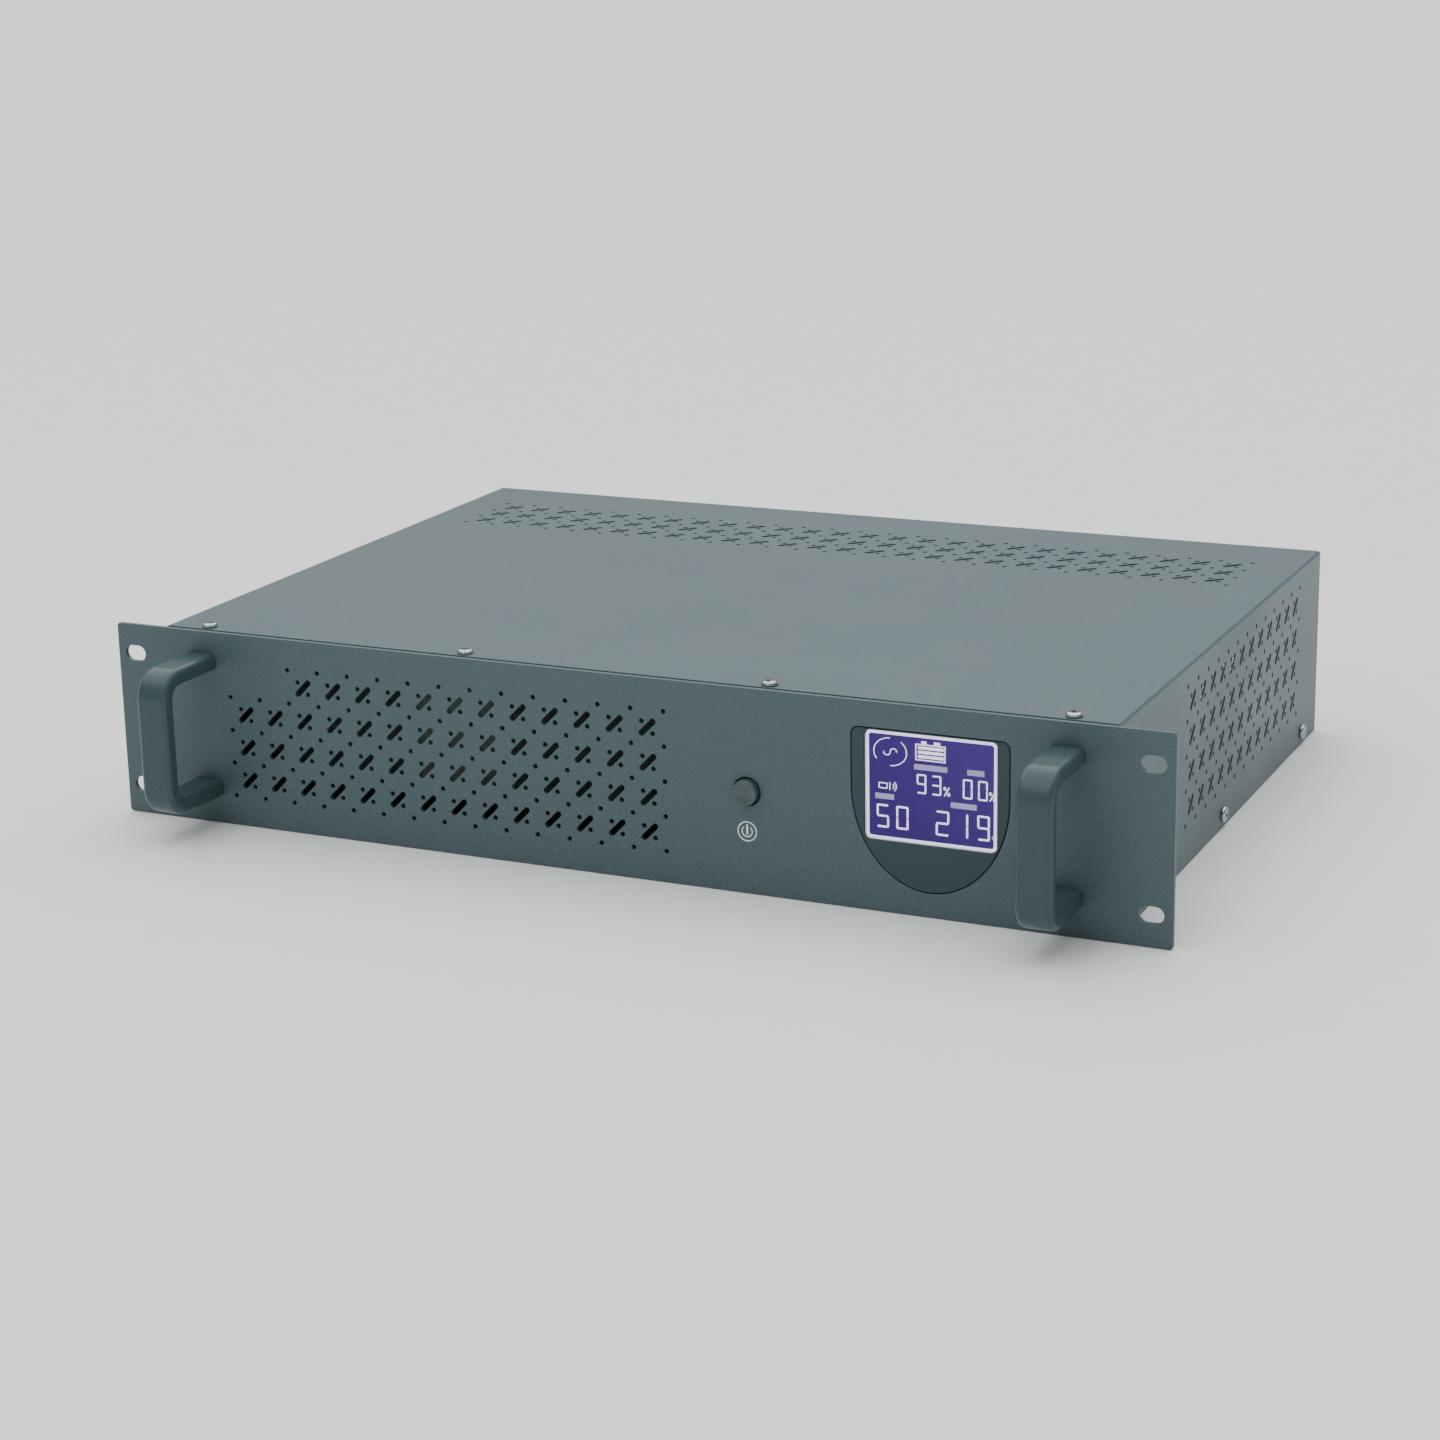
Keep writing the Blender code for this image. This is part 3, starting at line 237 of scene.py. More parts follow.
def shield(work, grow, level=0.0):
    """The bezel's edges: flat above with rounded corners, half an ellipse below."""
    sizes = bpy.context.scene.supply_sizes
    made = bmesh.ops.create_circle(work, cap_ends=False, segments=64, radius=1.0)["verts"]
    bmesh.ops.delete(work, geom=[vert for vert in made if vert.co.y > HAIR], context="VERTS")
    arc = [vert for vert in made if vert.is_valid]
    depth = sizes.bezel_bend - sizes.bezel_bottom + grow
    bmesh.ops.scale(work, vec=(sizes.bezel_half + grow, depth, 1), verts=arc)
    ends = [vert for vert in arc if len(vert.link_edges) == 1]
    raised = bmesh.ops.extrude_vert_indiv(work, verts=ends)["verts"]
    rise = sizes.bezel_top - sizes.bezel_bend + grow
    bmesh.ops.translate(work, vec=(0, rise, 0), verts=raised)
    bmesh.ops.contextual_create(work, geom=raised)
    face = bmesh.ops.contextual_create(work, geom=edges_of(arc + raised))["faces"][0]
    bmesh.ops.translate(work, vec=(sizes.bezel_x, sizes.bezel_bend, level), verts=arc + raised)
    return outline_of(work, face, raised, sizes.bezel_corner + grow, 4)


def vents(work, left, low, columns, rows, missing=0):
    """Slanted slots in a grid, two round holes beside each, and one at each corner of the grid."""
    sizes = bpy.context.scene.supply_sizes
    pitch = sizes.vent_pitch
    beside = pitch / 6
    for row in range(rows):
        for column in range(missing if row == rows - 1 else 0, columns):
            x, y = left + (column + 0.5) * pitch, low + (row + 0.5) * pitch
            slot(work, x, y, sizes.vent_length, sizes.vent_width, math.radians(45))
            ring(work, x - beside, y + beside, sizes.vent_dot, 8)
            ring(work, x + beside, y - beside, sizes.vent_dot, 8)
    for row in range(rows + 1):
        for column in range(missing if row == rows else 0, columns + 1):
            ring(work, left + column * pitch, low + row * pitch, sizes.vent_dot, 8)


def fill(work, edges):
    """Flat faces between outlines. An outline inside another is a hole."""
    return bmesh.ops.triangle_fill(work, use_beauty=True, use_dissolve=False, edges=edges,
                                   normal=(0.0, 0.0, 1.0))


def step(work, edges, drop, factor=1.0):
    """Walls from some edges down to a copy of them, which can be scaled about the middle."""
    verts = verts_in(bmesh.ops.extrude_edge_only(work, edges=edges)["geom"])
    bmesh.ops.scale(work, vec=(factor, factor, 1), verts=verts)
    bmesh.ops.translate(work, vec=(0, 0, -drop), verts=verts)
    below = set(verts)
    return [edge for edge in edges_of(verts) if below.issuperset(edge.verts)]


def sink(work, edges, drop):
    """A pocket: walls and a floor."""
    fill(work, step(work, edges, drop))


def thicken(work, thick):
    """A flat sheet from all the outlines in the work, its face up and its back down."""
    edges = work.edges[:]
    fill(work, edges)
    sink(work, edges, thick)
    bmesh.ops.recalc_face_normals(work, faces=work.faces[:])


def relief(work, edges, thick, pockets):
    """A block from its outer edges, with pockets. Each pocket is its edges and its depth."""
    fill(work, edges + [edge for pocket, depth in pockets for edge in pocket])
    sink(work, edges, thick)
    for pocket, depth in pockets:
        sink(work, pocket, depth)
    bmesh.ops.recalc_face_normals(work, faces=work.faces[:])


def turned(work, profile, sides):
    """A closed round solid from a profile of radius and height, from the middle of its front."""
    radius, height = profile[0]
    made = bmesh.ops.create_circle(work, cap_ends=True, segments=sides, radius=radius)["verts"]
    bmesh.ops.translate(work, vec=(0, 0, height), verts=made)
    edges = edges_of(made)
    for (start, high), (end, low) in zip(profile, profile[1:]):
        edges = step(work, edges, high - low, end / start)
    bmesh.ops.contextual_create(work, geom=edges)
    bmesh.ops.recalc_face_normals(work, faces=work.faces[:])


def block(work, low, high):
    """A box between two corners."""
    low, high = Vector(low), Vector(high)
    made = bmesh.ops.create_cube(work, size=1.0)["verts"]
    bmesh.ops.scale(work, vec=high - low, verts=made)
    bmesh.ops.translate(work, vec=(low + high) / 2, verts=made)
    return made


def soften(work, width, segments=2, wanted=None, above=50):
    """Rounds the sharp edges, or those that the test wants."""
    work.normal_update()
    limit = math.radians(above)
    sharp = [edge for edge in work.edges if len(edge.link_faces) == 2 and edge.calc_face_angle() > limit]
    if wanted:
        sharp = [edge for edge in sharp if wanted(edge)]
    bmesh.ops.bevel(work, geom=sharp, offset=width, offset_type="OFFSET", segments=segments, profile=0.5,
                    affect="EDGES", material=-1, clamp_overlap=True)


def at_level(height):
    """A test for edges that lie at one height."""
    return lambda edge: all(abs(vert.co.z - height) < HAIR * 10 for vert in edge.verts)


def absorb(work, other, matrix=UPWARD):
    """Adds another bmesh, moved by a matrix, and frees it."""
    bmesh.ops.transform(other, matrix=matrix, verts=other.verts)
    if matrix.determinant() < 0:
        bmesh.ops.reverse_faces(other, faces=other.faces[:])
    passing = bpy.data.meshes.new("passing")
    other.to_mesh(passing)
    other.free()
    work.from_mesh(passing)
    bpy.data.meshes.remove(passing)


def piece(name, work, matrix, finish, stands_for=(), body="chassis", smooth=30):
    """An object from a bmesh, placed in its mesh and riding on its body."""
    mesh = bpy.data.meshes.new(name)
    bmesh.ops.transform(work, matrix=matrix, verts=work.verts)
    work.to_mesh(mesh)
    work.free()
    mesh.materials.append(finish)
    mesh.shade_smooth()
    mesh.set_sharp_from_angle(angle=math.radians(smooth))
    item = bpy.data.objects.new(name, mesh)
    bpy.context.scene.collection.objects.link(item)
    even = item.modifiers.new("even_shading", "WEIGHTED_NORMAL")
    even.keep_sharp = True
    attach(item, body)
    if stands_for:
        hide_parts(*stands_for)
    return item


# Shader groups ------------------------------------------------------------------------------
def add(tree, kind, inputs=None, **settings):
    """A shader node with its settings. Each input is a value, or an output of another node."""
    node = tree.nodes.new(kind)
    for key, value in settings.items():
        setattr(node, key, value)
    for key, value in (inputs or {}).items():
        if isinstance(value, bpy.types.NodeSocket):
            tree.links.new(value, node.inputs[key])
        else:
            node.inputs[key].default_value = value
    return node


def spread(tree, value, low, high, to_low=0.0, to_high=1.0):
    """Stretches a value's range and clamps it."""
    return add(tree, "ShaderNodeMapRange", {0: value, 1: low, 2: high, 3: to_low, 4: to_high},
               clamp=True).outputs[0]


def math_node(tree, operation, first, second):
    return add(tree, "ShaderNodeMath", {0: first, 1: second}, operation=operation).outputs[0]


def new_group(name, inputs, outputs):
    tree = bpy.data.node_groups.new(name, "ShaderNodeTree")
    for label, kind in inputs:
        tree.interface.new_socket(name=label, in_out="INPUT", socket_type=kind)
    for label in outputs:
        tree.interface.new_socket(name=label, in_out="OUTPUT", socket_type="NodeSocketFloat")
    return tree, tree.nodes.new("NodeGroupInput"), tree.nodes.new("NodeGroupOutput")


def grain_group():
    """Fine grains, and slow patches of lighter and darker tone."""
    tree, given, out = new_group("coat_grain", (("Vector", "NodeSocketVector"), ("Scale", "NodeSocketFloat"),
                                                ("Patch Scale", "NodeSocketFloat")),
                                 ("Height", "Tone", "Patches"))
    vector = given.outputs["Vector"]
    fine = add(tree, "ShaderNodeTexNoise", {"Vector": vector, "Scale": given.outputs["Scale"], "Detail": 3.0,
                                            "Roughness": 0.65}).outputs[0]
    swell = math_node(tree, "MULTIPLY", given.outputs["Scale"], 0.28)
    peel = add(tree, "ShaderNodeTexNoise", {"Vector": vector, "Scale": swell, "Detail": 1.0}).outputs[0]
    broad = add(tree, "ShaderNodeTexNoise", {"Vector": vector, "Scale": given.outputs["Patch Scale"],
                                             "Detail": 2.0, "Roughness": 0.4}).outputs[0]
    height = math_node(tree, "ADD", math_node(tree, "MULTIPLY", fine, 0.65),
                       math_node(tree, "MULTIPLY", peel, 0.35))
    tree.links.new(height, out.inputs["Height"])
    tree.links.new(spread(tree, fine, 0.36, 0.66), out.inputs["Tone"])
    tree.links.new(spread(tree, broad, 0.30, 0.70), out.inputs["Patches"])
    return tree


def streak_group():
    """Fine lines along one direction, as on rolled or drawn metal."""
    tree, given, out = new_group("metal_streaks", (("Vector", "NodeSocketVector"),
                                                   ("Scale", "NodeSocketFloat")), ("Height", "Tone"))
    lines = add(tree, "ShaderNodeTexNoise", {"Vector": given.outputs["Vector"],
                                             "Scale": given.outputs["Scale"], "Detail": 4.0}).outputs[0]
    tree.links.new(lines, out.inputs["Height"])
    tree.links.new(spread(tree, lines, 0.35, 0.65), out.inputs["Tone"])
    return tree


def dust_group():
    """A thin film on what faces up, broken into patches."""
    tree, given, out = new_group("settled_dust", (("Vector", "NodeSocketVector"),
                                                  ("Amount", "NodeSocketFloat")), ("Mask",))
    upward = add(tree, "ShaderNodeSeparateXYZ",
                 {0: add(tree, "ShaderNodeNewGeometry").outputs["Normal"]}).outputs[2]
    patches = add(tree, "ShaderNodeTexNoise", {"Vector": given.outputs["Vector"], "Scale": 14.0,
                                               "Detail": 5.0, "Roughness": 0.7}).outputs[0]
    mask = math_node(tree, "MULTIPLY", spread(tree, upward, 0.6, 1.0), spread(tree, patches, 0.3, 0.7))
    tree.links.new(math_node(tree, "MULTIPLY", mask, given.outputs["Amount"]), out.inputs["Mask"])
    return tree


def group_node(tree, maker, inputs):
    """One of the shader groups, built the first time that it is wanted."""
    found = bpy.data.node_groups.get(GROUP_NAMES[maker]) or maker()
    return add(tree, "ShaderNodeGroup", inputs, node_tree=found)


GROUP_NAMES = {grain_group: "coat_grain", streak_group: "metal_streaks", dust_group: "settled_dust"}


# Finishes -----------------------------------------------------------------------------------
def new_finish(name):
    """An empty material: its tree, its shader and its object coordinates."""
    made = bpy.data.materials.new(LOOK + name)
    made.use_nodes = True
    tree = made.node_tree
    place = add(tree, "ShaderNodeTexCoord").outputs["Object"]
    return made, tree, tree.nodes["Principled BSDF"], place


def mix(tree, mask, first, second):
    """A colour between two, each a colour or an output."""
    ends = [end if isinstance(end, bpy.types.NodeSocket) else (*end, 1.0) for end in (first, second)]
    return add(tree, "ShaderNodeMix", {0: mask, 6: ends[0], 7: ends[1]}, data_type="RGBA").outputs[2]


def bump(tree, shader, height, distance):
    made = add(tree, "ShaderNodeBump", {"Height": height, "Distance": distance, "Strength": 1.0})
    tree.links.new(made.outputs[0], shader.inputs["Normal"])


def grained(name, dark, light, rough, scale, deep, patch=9.0, gloss=0.5, dust=0.0):
    """Paint or moulded plastic: fine grains, slow patches, and a little dust on top."""
    found = bpy.data.materials.get(LOOK + name)
    if found:
        return found
    made, tree, shader, place = new_finish(name)
    grain = group_node(tree, grain_group, {"Vector": place, "Scale": scale, "Patch Scale": patch})
    colour = mix(tree, grain.outputs["Tone"], dark, light)
    shade = spread(tree, grain.outputs["Patches"], 0.0, 1.0, 0.0, 0.10)
    colour = mix(tree, shade, colour, light)
    if dust:
        film = group_node(tree, dust_group, {"Vector": place, "Amount": dust})
        colour = mix(tree, film.outputs["Mask"], colour, (0.30, 0.30, 0.28))
    tree.links.new(colour, shader.inputs["Base Color"])
    patches = spread(tree, grain.outputs["Patches"], 0.0, 1.0, rough - 0.04, rough + 0.05)
    rough_out = math_node(tree, "ADD", patches, spread(tree, grain.outputs["Tone"], 0.0, 1.0, -0.03, 0.03))
    tree.links.new(rough_out, shader.inputs["Roughness"])
    shader.inputs["Specular IOR Level"].default_value = gloss
    bump(tree, shader, grain.outputs["Height"], deep)
    return made


def metal(name, dark, light, rough, stretch, scale=900.0, deep=0.00002):
    """Bare or plated metal with fine lines. stretch squeezes the pattern along its lines."""
    found = bpy.data.materials.get(LOOK + name)
    if found:
        return found
    made, tree, shader, place = new_finish(name)
    turned_place = add(tree, "ShaderNodeMapping", {"Vector": place, "Scale": stretch}).outputs[0]
    streaks = group_node(tree, streak_group, {"Vector": turned_place, "Scale": scale})
    tree.links.new(mix(tree, streaks.outputs["Tone"], dark, light), shader.inputs["Base Color"])
    tree.links.new(spread(tree, streaks.outputs["Tone"], 0.0, 1.0, rough - 0.06, rough + 0.08),
                   shader.inputs["Roughness"])
    shader.inputs["Metallic"].default_value = 1.0
    bump(tree, shader, streaks.outputs["Height"], deep)
    return made


def colours():
    return bpy.context.scene.supply_colours


def coat():
    return grained("powder_coat", colours().coat, colours().coat_light, 0.42, 950.0, 0.00015, gloss=0.36,
                   dust=0.04)


def handle_coat():
    base = Vector(colours().handle)
    return grained("handle_coat", base, base * 1.15, 0.30, 1300.0, 0.00001, gloss=0.25)


def bezel_plastic():
    base = Vector(colours().bezel)
    return grained("bezel_plastic", base, base * 1.12, 0.42, 2200.0, 0.00002, gloss=0.25)


def button_plastic():
    base = Vector(colours().button)
    return grained("button_plastic", base, base * 1.15, 0.33, 2200.0, 0.00002)


def black_plastic():
    return grained("black_plastic", (0.016, 0.016, 0.018), (0.028, 0.028, 0.030), 0.46, 2400.0, 0.00004)


def zinc():
    return metal("zinc_plate", (0.33, 0.35, 0.36), (0.56, 0.59, 0.60), 0.18, (1.0, 1.0, 1.0), 600.0)


def zinc_sheet():
    return metal("zinc_sheet", (0.24, 0.30, 0.28), (0.38, 0.44, 0.42), 0.42, (1.0, 0.08, 1.0), 500.0)


def contact_metal():
    return metal("contact_metal", (0.55, 0.50, 0.36), (0.80, 0.73, 0.52), 0.28, (1.0, 0.1, 1.0))


def aluminium():
    return metal("aluminium", (0.48, 0.49, 0.50), (0.66, 0.67, 0.68), 0.34, (1.0, 0.06, 1.0))


def battery_case():
    return grained("battery_case", (0.150, 0.185, 0.195), (0.180, 0.220, 0.230), 0.50, 1400.0, 0.00006)


def relay_blue():
    return grained("relay_blue", (0.025, 0.085, 0.27), (0.035, 0.115, 0.34), 0.38, 1800.0, 0.00002)


def insulation(name, base):
    base = Vector(base)
    return grained(name, base, base * 1.25, 0.42, 900.0, 0.00003)


def printed_ink():
    base = Vector(colours().ink)
    return grained("printed_ink", base * 0.86, base, 0.5, 2600.0, 0.00001)


def lamination():
    """The edges of many thin steel sheets, varnished."""
    made, tree, shader, place = new_finish("lamination")
    sheets = add(tree, "ShaderNodeTexWave", {"Vector": place, "Scale": 340.0, "Distortion": 0.6,
                                             "Detail": 2.0, "Detail Scale": 2.0},
                 bands_direction="Z").outputs[1]
    grain = group_node(tree, grain_group, {"Vector": place, "Scale": 700.0, "Patch Scale": 20.0})
    colour = mix(tree, sheets, (0.09, 0.085, 0.08), (0.22, 0.20, 0.18))
    rust = spread(tree, grain.outputs["Patches"], 0.6, 1.0, 0.0, 0.35)
    tree.links.new(mix(tree, rust, colour, (0.20, 0.11, 0.06)), shader.inputs["Base Color"])
    tree.links.new(spread(tree, sheets, 0.0, 1.0, 0.55, 0.38), shader.inputs["Roughness"])
    shader.inputs["Metallic"].default_value = 0.7
    bump(tree, shader, sheets, 0.0001)
    return made


def copper_wire():
    """Close turns of enamelled wire."""
    made, tree, shader, place = new_finish("copper_wire")
    turns = add(tree, "ShaderNodeTexWave", {"Vector": place, "Scale": 220.0, "Distortion": 1.2,
                                            "Detail": 1.0}, bands_direction="Z").outputs[1]
    tree.links.new(mix(tree, turns, (0.22, 0.075, 0.03), (0.62, 0.27, 0.12)), shader.inputs["Base Color"])
    tree.links.new(spread(tree, turns, 0.0, 1.0, 0.42, 0.25), shader.inputs["Roughness"])
    shader.inputs["Metallic"].default_value = 0.9
    bump(tree, shader, turns, 0.0003)
    return made


def circuit_board():
    """Green solder resist over copper tracks and small bright pads."""
    made, tree, shader, place = new_finish("circuit_board")
    tracks = add(tree, "ShaderNodeTexBrick", {"Vector": place, "Scale": 90.0, "Mortar Size": 0.07,
                                              "Mortar Smooth": 0.1}, offset=0.37).outputs[1]
    cells = add(tree, "ShaderNodeTexVoronoi", {"Vector": place, "Scale": 260.0}).outputs["Distance"]
    pads = spread(tree, cells, 0.16, 0.12)
    green = mix(tree, tracks, (0.012, 0.095, 0.040), (0.030, 0.190, 0.085))
    tree.links.new(mix(tree, pads, green, (0.55, 0.56, 0.54)), shader.inputs["Base Color"])
    tree.links.new(spread(tree, pads, 0.0, 1.0, 0.38, 0.25), shader.inputs["Roughness"])
    bump(tree, shader, tracks, 0.00005)
    return made


def lit(name, base, glow, ground=None):
    """A lit part of the display: its own colour, evenly bright but for a slow drift."""
    made, tree, shader, place = new_finish(name)
    middle = (WINDOW[0] + WINDOW[1]) / 2
    extent = WINDOW[1] - WINDOW[0]
    local = add(tree, "ShaderNodeMapping", {"Vector": place, "Location": (-middle.x / extent.x, 0.0,
                                                                         -middle.z / extent.z),
                                            "Scale": (1 / extent.x, 1.0, 1 / extent.z)}).outputs[0]
    parts = add(tree, "ShaderNodeSeparateXYZ", {0: local})
    across = math_node(tree, "ADD", parts.outputs[0], parts.outputs[2])
    drift = spread(tree, across, -0.5, 1.0)
    colour = mix(tree, drift, base, ground or Vector(base) * 0.94)
    tree.links.new(colour, shader.inputs["Emission Color"])
    shader.inputs["Emission Strength"].default_value = glow
    tree.links.new(mix(tree, drift, Vector(base) * 0.06, Vector(base) * 0.05), shader.inputs["Base Color"])
    shader.inputs["Roughness"].default_value = 0.5
    shader.inputs["Specular IOR Level"].default_value = 0.1
    return made


def window_glass():
    """Clear hard-coated glass with a trace of unevenness."""
    made, tree, shader, place = new_finish("window_glass")
    grain = group_node(tree, grain_group, {"Vector": place, "Scale": 60.0, "Patch Scale": 30.0})
    tree.links.new(mix(tree, grain.outputs["Patches"], (0.97, 0.97, 0.98), (1.0, 1.0, 1.0)),
                   shader.inputs["Base Color"])
    tree.links.new(spread(tree, grain.outputs["Patches"], 0.0, 1.0, 0.03, 0.07), shader.inputs["Roughness"])
    shader.inputs["Transmission Weight"].default_value = 1.0
    shader.inputs["IOR"].default_value = 1.14
    return made


def floor_paint():
    base = (0.83, 0.83, 0.83)
    return grained("floor_paint", base, (0.85, 0.85, 0.85), 0.7, 60.0, 0.0001)


# Operators ----------------------------------------------------------------------------------
class SUPPLY_OT_panel(bpy.types.Operator):
    """The flat front panel: rack slots, vents, and the openings for the button and the display"""
    bl_idname = "supply.panel"
    bl_label = "Front panel"

    def execute(self, context):
        sizes = context.scene.supply_sizes
        low, high = PANEL
        work = bmesh.new()
        rounded(work, 0, MID_Z, high.x - low.x, high.z - low.z, sizes.panel_corner)
        for side in (-1, 1):
            for level in (-1, 1):
                slot(work, side * sizes.rack_slot_x, MID_Z + level * sizes.rack_slot_rise,
                     sizes.rack_slot_length, sizes.rack_slot_width, sides=24)
        columns, rows = 14, 4
        vents(work, sizes.front_vents_left, MID_Z - rows * sizes.vent_pitch / 2, columns, rows, missing=2)
        ring(work, (BUTTON[0].x + BUTTON[1].x) / 2, MID_Z, sizes.button_hole, 40)
        shield(work, sizes.bezel_gap)
        thicken(work, high.y - low.y)
        soften(work, sizes.edge_round, 2, at_level(0.0))
        piece("panel_sheet", work, Matrix.Translation((0, FACE_Y, 0)) @ FRONTWARD, coat(),
              ("front_panel",))
        return {"FINISHED"}


class SUPPLY_OT_cover(bpy.types.Operator):
    """The folded top cover, pierced at the back of its top and on both sides"""
    bl_idname = "supply.cover"
    bl_label = "Top cover"

    def execute(self, context):
        sizes = context.scene.supply_sizes
        low, high = COVER
        fold, pitch = sizes.cover_fold, sizes.vent_pitch
        sheet = sizes.cover_sheet
        middle, length = (low.y + high.y) / 2, high.y - low.y
        work = bmesh.new()
        rounded(work, 0, middle, 2 * (high.x - fold), length)
        columns, rows = 26, 3
        vents(work, -columns * pitch / 2, FACE_Y + sizes.top_vents_front, columns, rows)
        fill(work, work.edges[:])
        bmesh.ops.translate(work, vec=(0, 0, high.z), verts=work.verts)
        for side in (-1, 1):
            flap = bmesh.new()
            rounded(flap, middle, (high.z - fold) / 2, length, high.z - fold)
            columns, rows = 12, 4
            vents(flap, FACE_Y + sizes.side_vents_front, sizes.side_vents_low, columns, rows)
            fill(flap, flap.edges[:])
            absorb(work, flap, Matrix.Diagonal((side, 1, 1, 1)) @ Matrix.Translation((high.x, 0, 0))
                   @ RIGHTWARD)
        for side in (-1, 1):
            edge_x = side * (high.x - fold)
            edge = [item for item in work.edges if item.is_boundary
                    and all(abs(vert.co.x - edge_x) < HAIR for vert in item.verts)]
            bmesh.ops.spin(work, geom=edge, cent=(edge_x, 0, high.z - fold), axis=(0, side, 0),
                           dvec=(0, 0, 0), angle=RIGHT_ANGLE, steps=4, use_merge=False)
        bmesh.ops.remove_doubles(work, verts=work.verts, dist=HAIR * 5)
        bmesh.ops.recalc_face_normals(work, faces=work.faces[:])
        bmesh.ops.solidify(work, geom=work.faces[:], thickness=sheet)
        bmesh.ops.recalc_face_normals(work, faces=work.faces[:])
        skin_x, skin_z = high.x - sheet / 2, high.z - sheet / 2
        soften(work, sizes.edge_round / 2, 1,
               lambda edge: all(abs(vert.co.x) > skin_x or vert.co.z > skin_z for vert in edge.verts))
        piece("cover_shell", work, UPWARD, coat(), ("top_cover",))
        return {"FINISHED"}


class SUPPLY_OT_handles(bpy.types.Operator):
    """The two handles: a flat strap bent into a U, its long edges well rounded"""
    bl_idname = "supply.handles"
    bl_label = "Handles"

    def execute(self, context):
        sizes = context.scene.supply_sizes
        bend = sizes.handle_bend
        for node in ("handle_left", "handle_right"):
            low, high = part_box(node)
            work = bmesh.new()
            made = rectangle(work, high.x - low.x, sizes.handle_thick)
            foot = Matrix.Translation(((low.x + high.x) / 2, high.y, low.z + sizes.handle_thick / 2))
            bmesh.ops.transform(work, matrix=foot @ FRONTWARD, verts=made)
            face = made[0].link_faces[0]
            face = self.run(work, face, (0, low.y + bend - high.y, 0))
            face = self.bend(work, face, (0, low.y + bend, low.z + bend))
            face = self.run(work, face, (0, 0, high.z - low.z - 2 * bend))
            face = self.bend(work, face, (0, low.y + bend, high.z - bend))
            self.run(work, face, (0, high.y - low.y - bend, 0))
            inside = [item for item in work.faces if all(len(edge.link_faces) > 2 for edge in item.edges)]
            bmesh.ops.delete(work, geom=inside, context="FACES_ONLY")
            bmesh.ops.recalc_face_normals(work, faces=work.faces[:])
            soften(work, sizes.handle_round, 4,
                   lambda edge: not all(vert.co.y > high.y - HAIR for vert in edge.verts))
            piece(node + "_strap", work, UPWARD, handle_coat(), (node,), smooth=60)
        return {"FINISHED"}

    @staticmethod
    def run(work, face, along):
        """Draws the strap's end straight out."""
        made = bmesh.ops.extrude_face_region(work, geom=[face])["geom"]
        bmesh.ops.translate(work, vec=along, verts=verts_in(made))
        return face_in(made)

    @staticmethod
    def bend(work, face, centre):
        """Draws the strap's end round a quarter turn."""
        made = bmesh.ops.spin(work, geom=[face], cent=centre, axis=(1, 0, 0), dvec=(0, 0, 0),
                              angle=-RIGHT_ANGLE, steps=10, use_merge=False)["geom_last"]
        return face_in(made)


class SUPPLY_OT_screws(bpy.types.Operator):
    """The cover's pan-head screws, each with a cross recess"""
    bl_idname = "supply.screws"
    bl_label = "Cover screws"

    def execute(self, context):
        turns = {"top": UPWARD, "left": LEFTWARD, "right": RIGHTWARD}
        spots = [("top", index) for index in range(1, 5)]
        spots += [(side, index) for side in ("left", "right") for index in range(1, 4)]
        first_turn, next_turn = 0.7, 1.3
        for number, (side, index) in enumerate(spots):
            node = f"cover_screw_{side}_{index}"
            low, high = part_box(node)
            place = (low + high) / 2
            work = bmesh.new()
            if side == "top":
                place.z = high.z
                radius, length = (high.x - low.x) / 2, high.z - low.z
            else:
                place.x = high.x if side == "right" else low.x
                radius, length = (high.y - low.y) / 2, high.x - low.x
            pan_head(work, radius, length)
            spun = Matrix.Rotation(first_turn + next_turn * number, 4, "Z")
            piece(node + "_head", work, Matrix.Translation(place) @ turns[side] @ spun, zinc(),
                  (node,), smooth=40)
        return {"FINISHED"}


def pan_head(work, radius, length, rise=0.0016, shank=0.0015):
    """A domed head, its crown at height 0, with a tapered cross recess, and its shank below."""
    span, cross_depth, cross_taper = radius * 1.1, rise * 0.85, 0.72
    crown, reach = radius * 0.66, 0.66
    made = bmesh.ops.create_grid(work, x_segments=3, y_segments=3, size=span / 2)["verts"]
    faces = list(dict.fromkeys(face for vert in made for face in vert.link_faces))
    corners = [face for face in faces
               if min(abs(face.calc_center_median().x), abs(face.calc_center_median().y)) > span / 5]
    bmesh.ops.delete(work, geom=corners, context="FACES")
    cross = bmesh.ops.dissolve_faces(work, faces=[face for face in faces if face.is_valid])["region"][0]
    recess = cross.edges[:]
    bmesh.ops.delete(work, geom=[cross], context="FACES_ONLY")
    rim = ring(work, 0, 0, crown, 24)
    fill(work, rim + recess)
    fill(work, step(work, recess, cross_depth, cross_taper))
    for further, drop in ((0.84, 0.16), (0.96, 0.24), (1.0, 0.30), (1.0, 0.30)):
        rim = step(work, rim, rise * drop, further / reach)
        reach = further
    rim = step(work, rim, 0.0, shank / radius)
    rim = step(work, rim, length - rise)
    bmesh.ops.contextual_create(work, geom=rim)
    bmesh.ops.recalc_face_normals(work, faces=work.faces[:])


